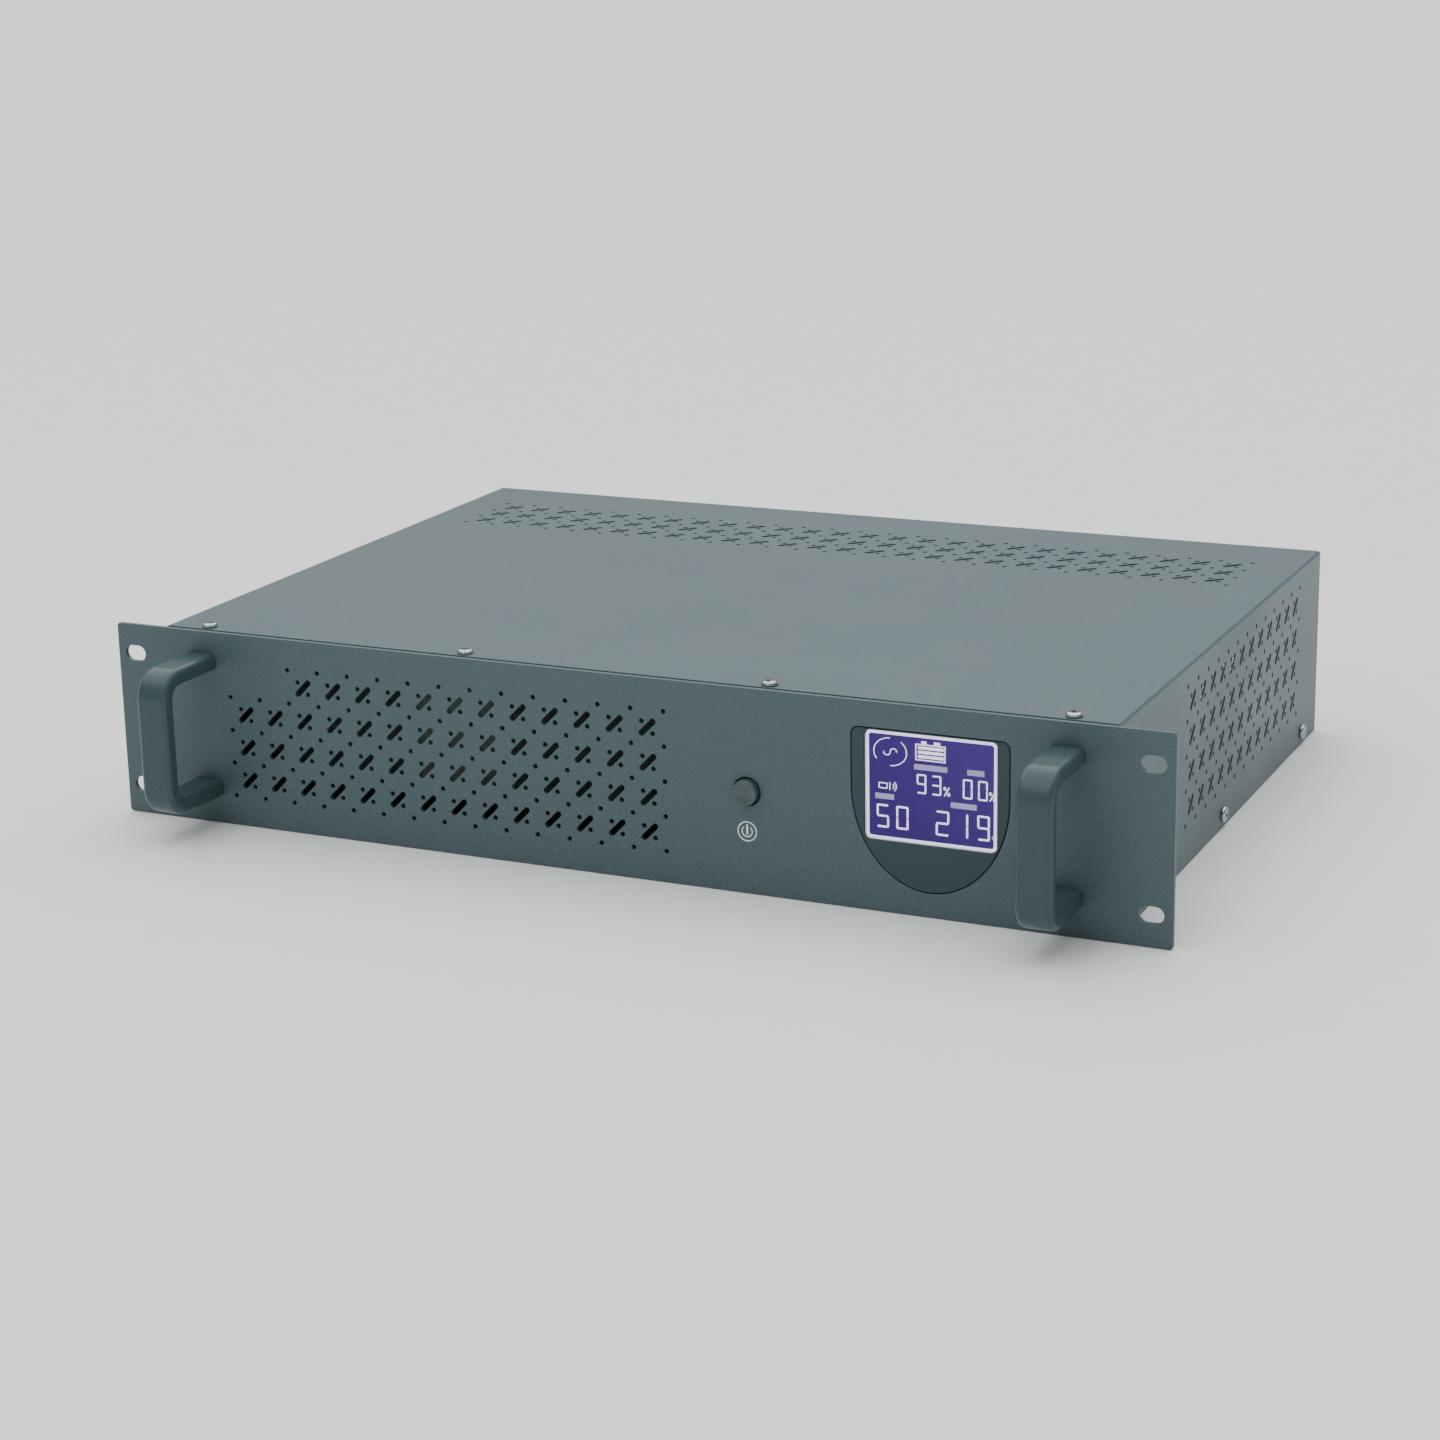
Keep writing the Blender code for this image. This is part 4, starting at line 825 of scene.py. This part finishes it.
class SUPPLY_OT_display(bpy.types.Operator):
    """The shield-shaped bezel, the lit screen with its marks, and the window over it"""
    bl_idname = "supply.display"
    bl_label = "Display"

    def execute(self, context):
        low, high = WINDOW
        x, z = (low.x + high.x) / 2, (low.z + high.z) / 2
        wide, tall = high.x - low.x, high.z - low.z
        place = Matrix.Translation((0, FACE_Y, 0)) @ FRONTWARD
        work = bmesh.new()
        neck, flange, recess = 0.0023, 0.0016, 0.0020
        play, lip_width, ledge_width = 0.0006, 0.0026, 0.004
        outer = shield(work, 0.0)
        aperture = rounded(work, x, z, wide + play, tall + play, 0.0023, 6)
        fill(work, outer + aperture)
        lip = shield(work, lip_width, -neck)
        fill(work, step(work, outer, neck) + lip)
        ledge = rounded(work, x, z, wide - ledge_width, tall - ledge_width, 0.001, 2, -recess)
        fill(work, step(work, aperture, recess) + ledge)
        fill(work, step(work, lip, flange) + step(work, ledge, neck + flange - recess))
        bmesh.ops.recalc_face_normals(work, faces=work.faces[:])
        soften(work, 0.0004, 3, at_level(0.0))
        piece("bezel_shell", work, place, bezel_plastic(), ("display_bezel",))
        self.screen(context, x, z, wide, tall)
        return {"FINISHED"}

    def screen(self, context, x, z, wide, tall):
        """Three layers: lit ground, marks on it, and clear glass in front."""
        tints = context.scene.supply_colours
        low, high = WINDOW
        place = Matrix.Translation((x, 0, z)) @ FRONTWARD
        ground_y, glass_back = high.y - 0.0005, low.y + 0.0006
        work = bmesh.new()
        rounded(work, 0, 0, wide, tall, 0.002, 6)
        thicken(work, high.y - ground_y)
        piece("screen_ground", work, Matrix.Translation((0, ground_y, 0)) @ place,
              lit("screen_ground", tints.screen, 1.0, tints.screen_edge), ("display_window",))
        on_ground = Matrix.Translation((0, ground_y - PRINT, 0)) @ place
        marks = bmesh.new()
        self.marks(marks, wide, tall)
        piece("screen_marks", marks, on_ground, lit("screen_marks", tints.marks, 1.7))
        labels = bmesh.new()
        label_height = 2.3
        for left, bottom, width in ((-7.1, 8.0, 13.9), (15.1, 8.0, 7.1), (-23.6, -5.7, 8.0),
                                    (8.3, -6.1, 10.7)):
            bar(labels, left + width / 2, bottom + label_height / 2, width, label_height)
        bar(labels, 26.0, -16.6, 1.2, 1.6)
        piece("screen_labels", labels, on_ground, lit("screen_labels", tints.labels, 1.0))
        glass = bmesh.new()
        rounded(glass, 0, 0, wide, tall, 0.002, 6)
        thicken(glass, glass_back - low.y)
        soften(glass, 0.0002, 2, at_level(0.0))
        piece("screen_glass", glass, Matrix.Translation((0, low.y, 0)) @ place, window_glass())

    @staticmethod
    def marks(work, wide, tall):
        """Border, gauge ring, battery and sounder symbols, and the figures. Millimetres."""
        edge, margin = 1.2, 0.1
        full_wide, full_tall = wide * 1000 - 2 * margin, tall * 1000 - 2 * margin
        border = bmesh.new()
        rounded(border, 0, 0, full_wide, full_tall, 1.9, 6)
        rounded(border, 0, 0, full_wide - 2 * edge, full_tall - 2 * edge, 1.2, 6)
        thicken(border, PRINT * 1000)
        absorb(work, border, Matrix.Scale(0.001, 4))
        gauge_x, gauge_y, fine = -17.2, 14.1, 0.42
        for start, sweep in ((90, 125), (50, -140)):
            arc(work, gauge_x, gauge_y, 6.95, fine, start, sweep, 0.82)
        for side in (-1, 1):
            arc(work, gauge_x + side * 1.4, gauge_y, 1.4, fine, 0, side * 180, 1.0)
        battery = ((-0.25, 18.4, 12.7, 0.5), (-0.25, 12.1, 12.7, 0.5), (-6.35, 15.25, 0.5, 6.8),
                   (5.85, 15.25, 0.5, 6.8), (-3.0, 19.3, 2.2, 1.2), (2.5, 19.3, 2.7, 1.2),
                   (-0.1, 17.1, 10.8, 1.25), (-0.1, 15.3, 10.8, 1.25), (-0.1, 13.5, 10.8, 1.25))
        sounder = ((-22.0, -0.1, 0.45, 2.4), (-20.3, 0.95, 3.0, 0.45), (-20.3, -1.15, 3.0, 0.45),
                   (-18.6, -0.1, 0.45, 2.4), (-17.4, -0.1, 0.45, 3.2))
        for x, y, width, height in battery + sounder:
            bar(work, x, y, width, height)
        for radius in (1.3, 2.4):
            arc(work, -17.0, -0.1, radius, 0.45, -50, 100, 1.0)
        upper, lower = -1.8, -18.2
        small, large = (0.66, 2.3), (0.8, 3.1)
        for number, left, bottom, width, height, (stroke, gap) in (
                ("93", -6.0, upper, 4.0, 8.1, small), ("00", 13.3, upper, 4.0, 8.1, small),
                ("50", -23.0, -17.6, 5.2, 9.7, large), ("2", 2.0, lower, 5.6, 10.3, large),
                ("1", 9.9, lower, 5.6, 10.3, large), ("9", 19.3, lower, 5.2, 10.3, large)):
            for index, figure in enumerate(number):
                digit(work, figure, left + index * (width + gap), bottom, width, height, stroke)
        for left in (5.3, 24.2):
            percent(work, left, upper)


def bar(work, x, y, width, height, lean=0.0):
    """A thin flat bar, its sizes in millimetres."""
    made = bmesh.ops.create_cube(work, size=1.0)["verts"]
    bmesh.ops.scale(work, vec=(width / 1000, height / 1000, PRINT), verts=made)
    bmesh.ops.rotate(work, matrix=Matrix.Rotation(lean, 3, "Z"), verts=made)
    bmesh.ops.translate(work, vec=(x / 1000, y / 1000, -PRINT / 2), verts=made)
    return made


def arc(work, x, y, radius, stroke, start, sweep, squash):
    """A thin flat stretch of a ring, in millimetres and degrees."""
    part = bmesh.new()
    begin = Matrix.Rotation(math.radians(start), 4, "Z")
    reaches = ((radius - stroke / 2) / 1000, (radius + stroke / 2) / 1000)
    edge = part.edges.new([part.verts.new(begin @ Vector((reach, 0, 0))) for reach in reaches])
    steps = max(6, abs(sweep) // 8)
    bmesh.ops.spin(part, geom=[edge], cent=(0, 0, 0), axis=(0, 0, 1), dvec=(0, 0, 0),
                   angle=math.radians(sweep), steps=steps, use_merge=abs(sweep) == 360)
    bmesh.ops.remove_doubles(part, verts=part.verts, dist=HAIR)
    below = bmesh.ops.extrude_face_region(part, geom=part.faces[:])["geom"]
    bmesh.ops.translate(part, vec=(0, 0, -PRINT), verts=verts_in(below))
    bmesh.ops.recalc_face_normals(part, faces=part.faces[:])
    absorb(work, part, Matrix.Translation((x / 1000, y / 1000, 0)) @ Matrix.Diagonal((1, squash, 1, 1)))


def digit(work, figure, left, bottom, width, height, stroke):
    """A seven-segment figure from bars with small gaps between them."""
    lit_segments = {"0": "abcdef", "1": "bc", "2": "abged", "3": "abgcd", "5": "afgcd", "9": "abcdfg"}
    half = height / 2
    right, top = left + width - stroke / 2, bottom + height - stroke / 2
    middle_x, middle_y = left + width / 2, bottom + half
    inner, gap = left + stroke / 2, 0.05
    across, upright = width - 0.9 * stroke, half - 0.45 * stroke
    places = {"a": (middle_x, top, across, stroke), "g": (middle_x, middle_y, across, stroke),
              "d": (middle_x, bottom + stroke / 2, across, stroke),
              "f": (inner, middle_y + half / 2 - gap, stroke, upright),
              "b": (right, middle_y + half / 2 - gap, stroke, upright),
              "e": (inner, middle_y - half / 2 + gap, stroke, upright),
              "c": (right, middle_y - half / 2 + gap, stroke, upright)}
    for segment in lit_segments[figure]:
        made = bar(work, *places[segment])
        upright_edges = [edge for edge in edges_of(made)
                         if abs(edge.verts[0].co.z - edge.verts[1].co.z) > PRINT / 2]
        bmesh.ops.bevel(work, geom=upright_edges, offset=stroke * 0.0003, offset_type="OFFSET", segments=1,
                        profile=0.5, affect="EDGES", material=-1)


def percent(work, left, bottom):
    """A small per cent sign."""
    bar(work, left + 1.3, bottom + 2.0, 0.5, 4.2, math.radians(-28))
    for x, y in ((0.5, 3.2), (2.1, 0.9)):
        arc(work, left + x, bottom + y, 0.42, 0.35, 0, 360, 1.3)


class SUPPLY_OT_button(bpy.types.Operator):
    """The power button with its hollow face, and the symbol printed below it"""
    bl_idname = "supply.button"
    bl_label = "Power button"

    def execute(self, context):
        sizes = context.scene.supply_sizes
        low, high = BUTTON
        x = (low.x + high.x) / 2
        cap, flange, stem = sizes.button_radius, (high.x - low.x) / 2, 0.0018
        flange_front, flange_back, deep = -0.0078, -0.0092, high.y - low.y
        hollow, hollow_end = 0.0009, 0.62
        reaches = (0.08, 0.25, 0.4, 0.55, 0.68, 0.76)
        dish = [(cap * reach, -hollow * (1 - reach * reach / hollow_end)) for reach in reaches]
        rim = [(cap * 0.84, 0.0), (cap * 0.92, -0.00008), (cap * 0.975, -0.00035), (cap, -0.0008)]
        shank = [(cap, flange_front), (flange, flange_front), (flange, flange_back), (stem, flange_back),
                 (stem, -deep)]
        work = bmesh.new()
        turned(work, dish + rim + shank, 48)
        piece("button_cap", work, Matrix.Translation((x, low.y, MID_Z)) @ FRONTWARD, button_plastic(),
              ("power_button",), "power_button", 50)
        symbol = bmesh.new()
        arc(symbol, 0, 0, 4.05, 0.46, 0, 360, 1.0)
        arc(symbol, 0, 0, 2.25, 0.44, 128, 284, 1.0)
        bar(symbol, 0, 0.75, 0.75, 4.5)
        piece("power_symbol", symbol, Matrix.Translation((x, FACE_Y - PRINT, 0.0266)) @ FRONTWARD,
              printed_ink())
        return {"FINISHED"}


class SUPPLY_OT_back(bpy.types.Operator):
    """The back sheet with its cut-outs, the cover of the card slot, and their screws"""
    bl_idname = "supply.back"
    bl_label = "Back panel"

    def execute(self, context):
        sizes = context.scene.supply_sizes
        low, high = REAR
        sheet, play, tray_side = high.y - low.y, 0.0003, 0.0165
        closing = sheet - sizes.cover_sheet      # the visible cover is thinner, so the sheet meets it
        work = bmesh.new()
        self.outline(work, low + Vector((-closing, 0, 0)), high + Vector((closing, 0, closing)),
                     high.x - sheet - play, tray_side)
        for node in SOCKETS:
            middle = middle_of(node)
            rounded(work, middle.x, middle.z, 0.0276, 0.0206, 0.003)
        middle = middle_of("breaker_body")
        ring(work, middle.x, middle.z, 0.0063, 24)
        for node, wide, tall in (("usb_port", 0.0130, 0.0124), ("serial_port", 0.0206, 0.0120),
                                 ("surge_jack", 0.0292, 0.0146), ("card_slot_cover", 0.060, 0.036)):
            middle = middle_of(node)
            rounded(work, middle.x, middle.z, wide, tall)
        count = 5
        half_field = count * sizes.vent_pitch / 2
        vents(work, middle_of("fan_frame").x - half_field, MID_Z - half_field, count, count)
        thicken(work, sheet)
        soften(work, sizes.edge_round / 2, 1, at_level(-sheet))
        piece("back_sheet", work, Matrix.Translation((0, low.y, 0)) @ FRONTWARD, coat(),
              ("rear_panel",))
        self.card_cover(sizes.edge_round)
        return {"FINISHED"}

    @staticmethod
    def card_cover(edge_round):
        """The plate over the card slot and its two screws."""
        place, wide, tall, deep = from_behind("card_slot_cover")
        plate = bmesh.new()
        rounded(plate, 0, 0, wide, tall, 0.002)
        thicken(plate, deep)
        soften(plate, edge_round, 2, at_level(0.0))
        piece("card_cover_plate", plate, place, coat(), ("card_slot_cover",))
        fixings = bmesh.new()
        across, rise = 0.031, 0.0012
        for side in (-1, 1):
            head = bmesh.new()
            pan_head(head, 0.0026, 0.0030, rise, shank=0.0012)
            absorb(fixings, head,
                   Matrix.Translation((side * across, 0, rise)) @ Matrix.Rotation(side * 1.24, 4, "Z"))
        piece("card_cover_screws", fixings, place, zinc(), smooth=40)

    @staticmethod
    def outline(work, low, high, side, notch):
        """The sheet's edges, its lower part narrower than the rest."""
        made = bmesh.ops.create_grid(work, x_segments=3, y_segments=2, size=1.5)["verts"]
        across = {-1.5: low.x, -0.5: -side, 0.5: side, 1.5: high.x}
        upright = {-1.5: low.z, 0.0: notch, 1.5: high.z}
        for vert in made:
            x = across[min(across, key=lambda value: abs(value - vert.co.x))]
            z = upright[min(upright, key=lambda value: abs(value - vert.co.y))]
            vert.co = (x, z, 0)
        outside = [face for face in work.faces
                   if abs(face.calc_center_median().x) > side and face.calc_center_median().y < notch]
        bmesh.ops.delete(work, geom=outside, context="FACES")
        whole = bmesh.ops.dissolve_faces(work, faces=work.faces[:])["region"]
        bmesh.ops.delete(work, geom=whole, context="FACES_ONLY")


class SUPPLY_OT_sockets(bpy.types.Operator):
    """The mains inlet with its three blades, and the four outlets"""
    bl_idname = "supply.sockets"
    bl_label = "Mains sockets"

    def execute(self, context):
        flange, margin = 0.0020, 0.004
        for node in SOCKETS:
            place, wide, tall, deep = from_behind(node)
            work = bmesh.new()
            edge = rounded(work, 0, 0, wide, tall, 0.003)
            mouth = self.keyed(work, 0.0224, 0.0154)
            if node == "inlet_socket":
                fill(work, edge + mouth)
                sink(work, mouth, 0.0135)
            else:
                self.face(work, edge, mouth)
            shoulder = step(work, edge, flange)
            inner = rounded(work, 0, 0, wide - margin, tall - margin, 0.0025, 4, -flange)
            fill(work, shoulder + inner)
            sink(work, inner, deep - flange)
            bmesh.ops.recalc_face_normals(work, faces=work.faces[:])
            soften(work, 0.00035, 2, at_level(0.0))
            piece(node + "_moulding", work, place, black_plastic(), (node,))
            if node == "inlet_socket":
                self.blades(place)
        return {"FINISHED"}

    @staticmethod
    def blades(place):
        """The inlet's three blades, their front edges rounded."""
        front, back = -0.0035, -0.0135
        half_thick, half_wide = 0.001, 0.002
        blades = bmesh.new()
        for x, z in ((-0.007, -0.002), (0, 0.002), (0.007, -0.002)):
            part = bmesh.new()
            block(part, (x - half_thick, z - half_wide, back), (x + half_thick, z + half_wide, front))
            soften(part, 0.0006, 2, at_level(front))
            absorb(blades, part)
        piece("inlet_blades", blades, place, contact_metal())

    def face(self, work, edge, groove):
        """An outlet's face: an island inside the groove, with a slit for each blade."""
        groove_depth, slit_depth = 0.008, 0.012
        island = self.keyed(work, 0.0186, 0.0116)
        slits = [rounded(work, x, z, 0.0022, 0.0052) for x, z in ((-0.006, -0.001), (0, 0.0022),
                                                                 (0.006, -0.001))]
        fill(work, edge + groove)
        fill(work, island + [item for slit in slits for item in slit])
        fill(work, step(work, groove, groove_depth) + step(work, island, groove_depth))
        for slit in slits:
            sink(work, slit, slit_depth)

    @staticmethod
    def keyed(work, wide, tall):
        """A rectangle's edges with two large corners cut off above and two small round ones below."""
        made = rectangle(work, wide, tall)
        upper = [vert for vert in made if vert.co.y > 0]
        lower = [vert for vert in made if vert.co.y < 0]
        cut = bmesh.ops.bevel(work, geom=upper, offset=tall * 0.28, offset_type="OFFSET", segments=1,
                              profile=0.5, affect="VERTICES", material=-1)["verts"]
        return outline_of(work, cut[0].link_faces[0], [vert for vert in lower if vert.is_valid], 0.0012, 3)


class SUPPLY_OT_breaker(bpy.types.Operator):
    """The resettable breaker: its collar, and the button that pops out"""
    bl_idname = "supply.breaker"
    bl_label = "Breaker"

    def execute(self, context):
        radius, bore, thick, sides = 0.0075, 0.0038, 0.0022, 32
        collar = bmesh.new()
        outer_edges, bore_edges = ring(collar, 0, 0, radius, sides), ring(collar, 0, 0, bore, sides)
        relief(collar, outer_edges, thick, [(bore_edges, thick - 0.0001)])
        soften(collar, 0.0005, 2, at_level(0.0))
        piece("breaker_collar", collar, from_behind("breaker_body")[0], black_plastic())
        place, wide, _, deep = from_behind("breaker_button")
        half = wide / 2
        cap = bmesh.new()
        turned(cap, [(half * 0.2, 0.0), (half * 0.7, -0.0001), (half * 0.9, -0.0004), (half, -0.0010),
                     (half, -deep)], sides)
        piece("breaker_cap", cap, place, insulation("breaker_red", (0.30, 0.02, 0.02)),
              ("breaker_button",), "breaker_button", 40)
        return {"FINISHED"}


class SUPPLY_OT_ports(bpy.types.Operator):
    """The data ports: a square one, a nine-way one and a pair of jacks, with their contacts"""
    bl_idname = "supply.ports"
    bl_label = "Data ports"

    def execute(self, context):
        self.square_port()
        self.nine_way_port()
        self.jacks()
        return {"FINISHED"}

    @staticmethod
    def square_port():
        place, wide, tall, deep = from_behind("usb_port")
        work = bmesh.new()
        edge = rounded(work, 0, 0, wide, tall, 0.0008, 2)
        mouth = rounded(work, 0, 0, 0.0086, 0.0078, 0.0012, 1)
        relief(work, edge, deep, [(mouth, 0.0070)])
        soften(work, 0.0003, 2, at_level(0.0))
        piece("square_port_shell", work, place, aluminium(), ("usb_port",))
        tongue = bmesh.new()
        block(tongue, (-0.0028, -0.0016, -0.0070), (0.0028, 0.0016, -0.0012))
        soften(tongue, 0.0003, 2)
        piece("square_port_tongue", tongue, place, printed_ink())

    def nine_way_port(self):
        place, wide, tall, deep = from_behind("serial_port")
        wall, inset, pitch = 0.0016, 0.0030, 0.0028
        work = bmesh.new()
        edge = self.d_outline(work, wide, tall)
        mouth = self.d_outline(work, wide - wall, tall - wall)
        relief(work, edge, deep, [(mouth, 0.0060)])
        soften(work, 0.0003, 2, at_level(0.0))
        piece("nine_way_shell", work, place, aluminium(), ("serial_port",))
        face = bmesh.new()
        rim = self.d_outline(face, wide - inset, tall - inset)
        holes = []
        for row, count in ((1, 5), (-1, 4)):
            for index in range(count):
                x = (index - (count - 1) / 2) * pitch
                holes.append((ring(face, x, row * pitch / 2, 0.0006, 10), 0.0030))
        relief(face, rim, 0.0050, holes)
        bmesh.ops.translate(face, vec=(0, 0, -0.0008), verts=face.verts)
        piece("nine_way_insert", face, place, black_plastic())
        posts = bmesh.new()
        for side in (-1, 1):
            post = bmesh.new()
            hexagon, bore = ring(post, 0, 0, 0.0027, 6), ring(post, 0, 0, 0.0013, 12)
            relief(post, hexagon, 0.0032, [(bore, 0.0028)])
            soften(post, 0.0003, 1, at_level(0.0))
            absorb(posts, post, Matrix.Translation((side * 0.0132, 0, 0.0012)))
        piece("nine_way_posts", posts, place, zinc())

    @staticmethod
    def d_outline(work, wide, tall):
        """A rectangle's edges, narrower below, with rounded corners."""
        made = rectangle(work, wide, tall)
        for vert in made:
            if vert.co.y < 0:
                vert.co.x *= 0.86
        return outline_of(work, made[0].link_faces[0], made, 0.0012, 3)

    @staticmethod
    def jacks():
        place, wide, tall, deep = from_behind("surge_jack")
        apart, contact_pitch, half_thick = 0.0069, 0.00102, 0.00022
        work = bmesh.new()
        edge = rounded(work, 0, 0, wide, tall, 0.0006, 2)
        mouths = [(rounded(work, side * apart, 0, 0.0116, 0.0090), 0.0075) for side in (-1, 1)]
        relief(work, edge, deep, mouths)
        soften(work, 0.0003, 2, at_level(0.0))
        piece("jack_block", work, place, black_plastic(), ("surge_jack",))
        contacts = bmesh.new()
        for side in (-1, 1):
            for index in range(8):
                x = side * apart + (index - 3.5) * contact_pitch
                made = block(contacts, (x - half_thick, 0.0005, -0.0065), (x + half_thick, 0.0009, -0.0015))
                bmesh.ops.rotate(contacts, cent=(x, 0.0009, -0.0015), matrix=Matrix.Rotation(0.35, 3, "X"),
                                 verts=made)
        piece("jack_contacts", contacts, place, contact_metal())


class SUPPLY_OT_inner(bpy.types.Operator):
    """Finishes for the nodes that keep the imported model's shape"""
    bl_idname = "supply.inner"
    bl_label = "Inner parts"

    def execute(self, context):
        numbered = [("battery_", 2, battery_case()), ("capacitor_", 3, black_plastic()),
                    ("heatsink_", 2, aluminium()), ("relay_", 2, relay_blue()), ("handle_screw_", 4, zinc())]
        board = circuit_board()
        named = {"battery_bracket": zinc_sheet(), "transformer_foot": zinc_sheet(),
                 "transformer_core": lamination(), "transformer_winding": copper_wire(),
                 "display_board": board, "main_board": board,
                 "battery_lead_red": insulation("red_lead", (0.40, 0.02, 0.02)),
                 "battery_lead_black": insulation("black_lead", (0.02, 0.02, 0.02)),
                 "battery_link": insulation("link_lead", (0.02, 0.02, 0.02)),
                 "chassis_tray": coat(), "display_module": black_plastic(),
                 "button_switch": black_plastic(), "fan_frame": black_plastic(),
                 "fan_rotor": black_plastic(), "breaker_body": black_plastic()}
        for start, count, finish in numbered:
            for index in range(count):
                named[f"{start}{index + 1}"] = finish
        for node, finish in named.items():
            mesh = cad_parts[node].data
            if mesh.materials:
                mesh.materials[0] = finish
            else:
                mesh.materials.append(finish)
        return {"FINISHED"}


class SUPPLY_OT_stage(bpy.types.Operator):
    """A pale floor, soft lights and the camera"""
    bl_idname = "supply.stage"
    bl_label = "Stage"

    def execute(self, context):
        stage = context.scene.supply_stage
        self.floor(context, 30.0, 0.0002)
        key = bpy.data.lights.new("top_light", "SUN")
        key.energy, key.angle = stage.key_strength, stage.key_breadth
        lamp = bpy.data.objects.new("top_light", key)
        lamp.rotation_euler = (math.radians(-13), math.radians(-9), 0)
        context.scene.collection.objects.link(lamp)
        self.light("side_light", (1.5, 1.9, 0.8), (0.2, 0, 0.05), 1.2, stage.side_power)
        self.light("front_light", (-0.2, -1.5, 1.5), (0, 0, 0.05), 0.7, stage.fill_power)
        self.surroundings(context, stage)
        self.camera(context, stage)
        return {"FINISHED"}

    @staticmethod
    def floor(context, half_size, gap):
        """A wide flat floor just under the object."""
        work = bmesh.new()
        bmesh.ops.create_grid(work, x_segments=1, y_segments=1, size=half_size)
        mesh = bpy.data.meshes.new("floor")
        work.to_mesh(mesh)
        work.free()
        mesh.transform(Matrix.Translation((0, 0, -gap)))
        mesh.materials.append(floor_paint())
        floor = bpy.data.objects.new("floor", mesh)
        context.scene.collection.objects.link(floor)

    @staticmethod
    def surroundings(context, stage):
        """Even light from all round, brighter where it is seen directly beyond the floor."""
        world = bpy.data.worlds.new("surroundings")
        world.use_nodes = True
        tree = world.node_tree
        ground = tree.nodes["Background"]
        ground.inputs["Color"].default_value = (0.98, 0.98, 0.98, 1.0)
        seen = add(tree, "ShaderNodeLightPath").outputs["Is Camera Ray"]
        tree.links.new(spread(tree, seen, 0.0, 1.0, stage.sky, stage.backdrop), ground.inputs["Strength"])
        context.scene.world = world

    @staticmethod
    def camera(context, stage):
        camera = bpy.data.cameras.new("camera")
        camera.lens, camera.sensor_width = stage.lens, 36.0
        camera.shift_x, camera.shift_y = stage.shift
        camera.clip_start, camera.clip_end = 0.01, 100.0
        viewer = bpy.data.objects.new("camera", camera)
        viewer.location, viewer.rotation_euler = stage.place, stage.turn
        context.scene.collection.objects.link(viewer)
        context.scene.camera = viewer

    @staticmethod
    def light(name, place, target, extent, power):
        """A square soft light aimed at a point."""
        data = bpy.data.lights.new(name, "AREA")
        data.shape, data.size, data.energy = "SQUARE", extent, power
        lamp = bpy.data.objects.new(name, data)
        lamp.location = place
        lamp.rotation_euler = (Vector(target) - Vector(place)).to_track_quat("-Z", "Y").to_euler()
        bpy.context.scene.collection.objects.link(lamp)


PIECE_OPERATORS = (SUPPLY_OT_panel, SUPPLY_OT_cover, SUPPLY_OT_handles, SUPPLY_OT_screws,
                   SUPPLY_OT_display, SUPPLY_OT_button, SUPPLY_OT_back, SUPPLY_OT_sockets,
                   SUPPLY_OT_breaker, SUPPLY_OT_ports, SUPPLY_OT_inner, SUPPLY_OT_stage)


class SUPPLY_PT_pieces(bpy.types.Panel):
    """Lists the pieces in the order in which they are built"""
    bl_label = "Power supply"
    bl_idname = "SUPPLY_PT_pieces"
    bl_space_type = "VIEW_3D"
    bl_region_type = "UI"
    bl_category = "Power supply"

    def draw(self, context):
        for made in PIECE_OPERATORS:
            self.layout.operator(made.bl_idname)


SETTINGS = {"supply_sizes": SupplySizes, "supply_colours": SupplyColours, "supply_stage": StageSettings}


def register():
    for name, group in SETTINGS.items():
        bpy.utils.register_class(group)
        setattr(bpy.types.Scene, name, bpy.props.PointerProperty(type=group))
    for made in (*PIECE_OPERATORS, SUPPLY_PT_pieces):
        bpy.utils.register_class(made)


def unregister():
    for made in (SUPPLY_PT_pieces, *reversed(PIECE_OPERATORS)):
        bpy.utils.unregister_class(made)
    for name, group in SETTINGS.items():
        delattr(bpy.types.Scene, name)
        bpy.utils.unregister_class(group)


def main():
    register()
    bpy.ops.supply.panel()
    bpy.ops.supply.cover()
    bpy.ops.supply.handles()
    bpy.ops.supply.screws()
    bpy.ops.supply.display()
    bpy.ops.supply.button()
    bpy.ops.supply.back()
    bpy.ops.supply.sockets()
    bpy.ops.supply.breaker()
    bpy.ops.supply.ports()
    bpy.ops.supply.inner()
    bpy.ops.supply.stage()


if __name__ == "__main__":
    main()
